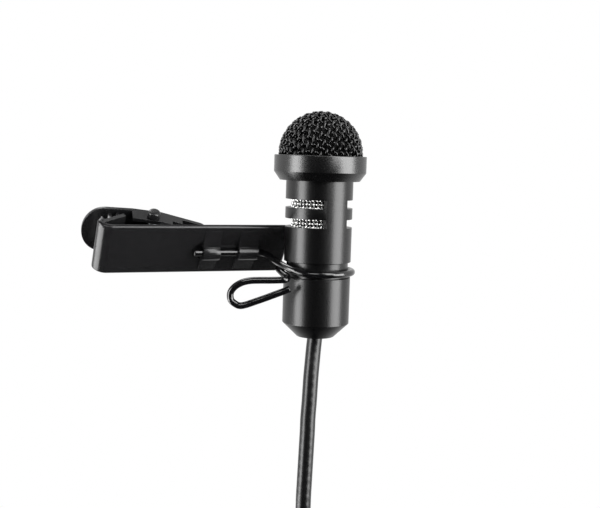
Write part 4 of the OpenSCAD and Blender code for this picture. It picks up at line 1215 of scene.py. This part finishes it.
world = bpy.data.worlds.new("white sheet")
scene.world = world
world.use_nodes = True
air = world.node_tree
air.nodes.clear()
rays = add_node(air, "ShaderNodeLightPath")
ray = add_node(air, "ShaderNodeTexCoord").outputs["Generated"]
towards_back = add_node(air, "ShaderNodeVectorMath", {0: ray, 1: back}, operation="DOT_PRODUCT")
sideways = add_node(air, "ShaderNodeVectorMath", {0: ray, 1: side}, operation="DOT_PRODUCT")
to_a_side = add_node(air, "ShaderNodeMath", {0: sideways.outputs["Value"]}, operation="ABSOLUTE")
reach_out = add_node(air, "ShaderNodeMath", {0: to_a_side, 1: SIDE_GAIN,
                                             2: towards_back.outputs["Value"]},
                     operation="MULTIPLY_ADD")
parts = add_node(air, "ShaderNodeSeparateXYZ", {"Vector": ray})
above = add_node(air, "ShaderNodeMath", {0: parts.outputs["Z"], 1: RISE_LOSS}, operation="MULTIPLY")
below = add_node(air, "ShaderNodeMath", {0: parts.outputs["Z"], 1: -FALL_LOSS}, operation="MULTIPLY")
steep = add_node(air, "ShaderNodeMath", {0: above, 1: below}, operation="MAXIMUM")
place_on_sheet = add_node(air, "ShaderNodeMath", {0: reach_out, 1: steep}, operation="SUBTRACT")
sheet_seen = add_node(air, "ShaderNodeMapRange", {"Value": place_on_sheet, "From Min": SHEET_END,
                                                  "From Max": SHEET_START, "To Min": SHEET_DIM,
                                                  "To Max": SHEET_BRIGHT},
                      interpolation_type="SMOOTHSTEP")
mirror = add_node(air, "ShaderNodeMath", {0: rays.outputs["Is Glossy Ray"], 1: sheet_seen},
                  operation="MULTIPLY")
direct = add_node(air, "ShaderNodeMath", {0: rays.outputs["Is Camera Ray"],
                                          1: rays.outputs["Is Transmission Ray"]},
                  operation="MAXIMUM")
white = add_node(air, "ShaderNodeMath", {0: direct, 1: mirror}, operation="MAXIMUM")
fill = add_node(air, "ShaderNodeMath", {0: rays.outputs["Is Diffuse Ray"], 1: FILL},
                operation="MULTIPLY")
level = add_node(air, "ShaderNodeMath", {0: white, 1: fill}, operation="MAXIMUM")
sheet = add_node(air, "ShaderNodeBackground", {"Color": (1, 1, 1, 1), "Strength": level})
add_node(air, "ShaderNodeOutputWorld", {"Surface": sheet})
print("sheet", len(air.nodes), "nodes")

# %% Floor
FLOOR_R, FLOOR_DROP, FLOOR_SIDES = 1.6, 0.02, 96
PAPER_END, WHITE_START = 0.08, 0.35

low_corner, high_corner = cad_box
floor_z = low_corner.z - FLOOR_DROP
middle = (low_corner + high_corner) / 2
rim = [(middle.x + FLOOR_R * math.cos(TURN * k / FLOOR_SIDES),
        middle.y + FLOOR_R * math.sin(TURN * k / FLOOR_SIDES), floor_z) for k in range(FLOOR_SIDES)]
floor = new_mesh_object("studio_floor", rim, [tuple(range(FLOOR_SIDES))])
paper, tree, shader, place = new_material("floor paper", "#e9e9e8", 0.9)
centred = add_node(tree, "ShaderNodeMapping", {"Vector": place,
                                               "Location": (-middle.x, -middle.y, -floor_z)})
distance = add_node(tree, "ShaderNodeVectorMath", {0: centred}, operation="LENGTH")
fade = add_node(tree, "ShaderNodeMapRange", {"Value": distance.outputs["Value"],
                                             "From Min": PAPER_END, "From Max": WHITE_START},
                interpolation_type="SMOOTHSTEP")
seen = add_node(tree, "ShaderNodeLightPath")
camera_fade = add_node(tree, "ShaderNodeMath", {0: fade, 1: seen.outputs["Is Camera Ray"]},
                       operation="MULTIPLY")
glow = add_node(tree, "ShaderNodeEmission", {"Color": (1, 1, 1, 1), "Strength": 1.0})
mixed = add_node(tree, "ShaderNodeMixShader", {0: camera_fade, 1: shader, 2: glow})
tree.links.new(mixed.outputs[0], tree.nodes["Material Output"].inputs["Surface"])
floor.data.materials.append(paper)
floor.visible_glossy = False
print("floor", round((MIC.z - floor_z) / MM), "mm below the head ring")


# %% Lamps
def soft_box(name, bearing, lift, distance, wide, tall, watts):
    """A rectangular lamp at a bearing from the camera's direction, aimed at the microphone."""
    bearing, lift = math.radians(bearing), math.radians(lift)
    level_way = turn @ Vector((math.sin(bearing), -math.cos(bearing), 0))
    away = level_way * math.cos(lift) + Vector((0, 0, math.sin(lift)))
    lamp = bpy.data.lights.new(name, "AREA")
    lamp.shape, lamp.size, lamp.size_y, lamp.energy = "RECTANGLE", wide, tall, watts
    made = bpy.data.objects.new(name, lamp)
    made.location = MIC + away * distance
    made.rotation_euler = away.to_track_quat("Z", "Y").to_euler()
    scene.collection.objects.link(made)


soft_box("soft_box_left", -63, -4, 0.5, 0.24, 0.5, 3.1)
soft_box("soft_box_low_left", -86, -35, 0.45, 0.22, 0.24, 1.05)
soft_box("soft_box_right", 70, 0, 0.5, 0.34, 0.44, 3.4)
soft_box("soft_box_high_right", 42, 31, 0.5, 0.24, 0.5, 2.1)
soft_box("soft_box_high_front", -10, 38, 0.5, 0.2, 0.12, 0.45)
soft_box("soft_box_high_left", -140, 60, 0.5, 0.24, 0.24, 0.9)
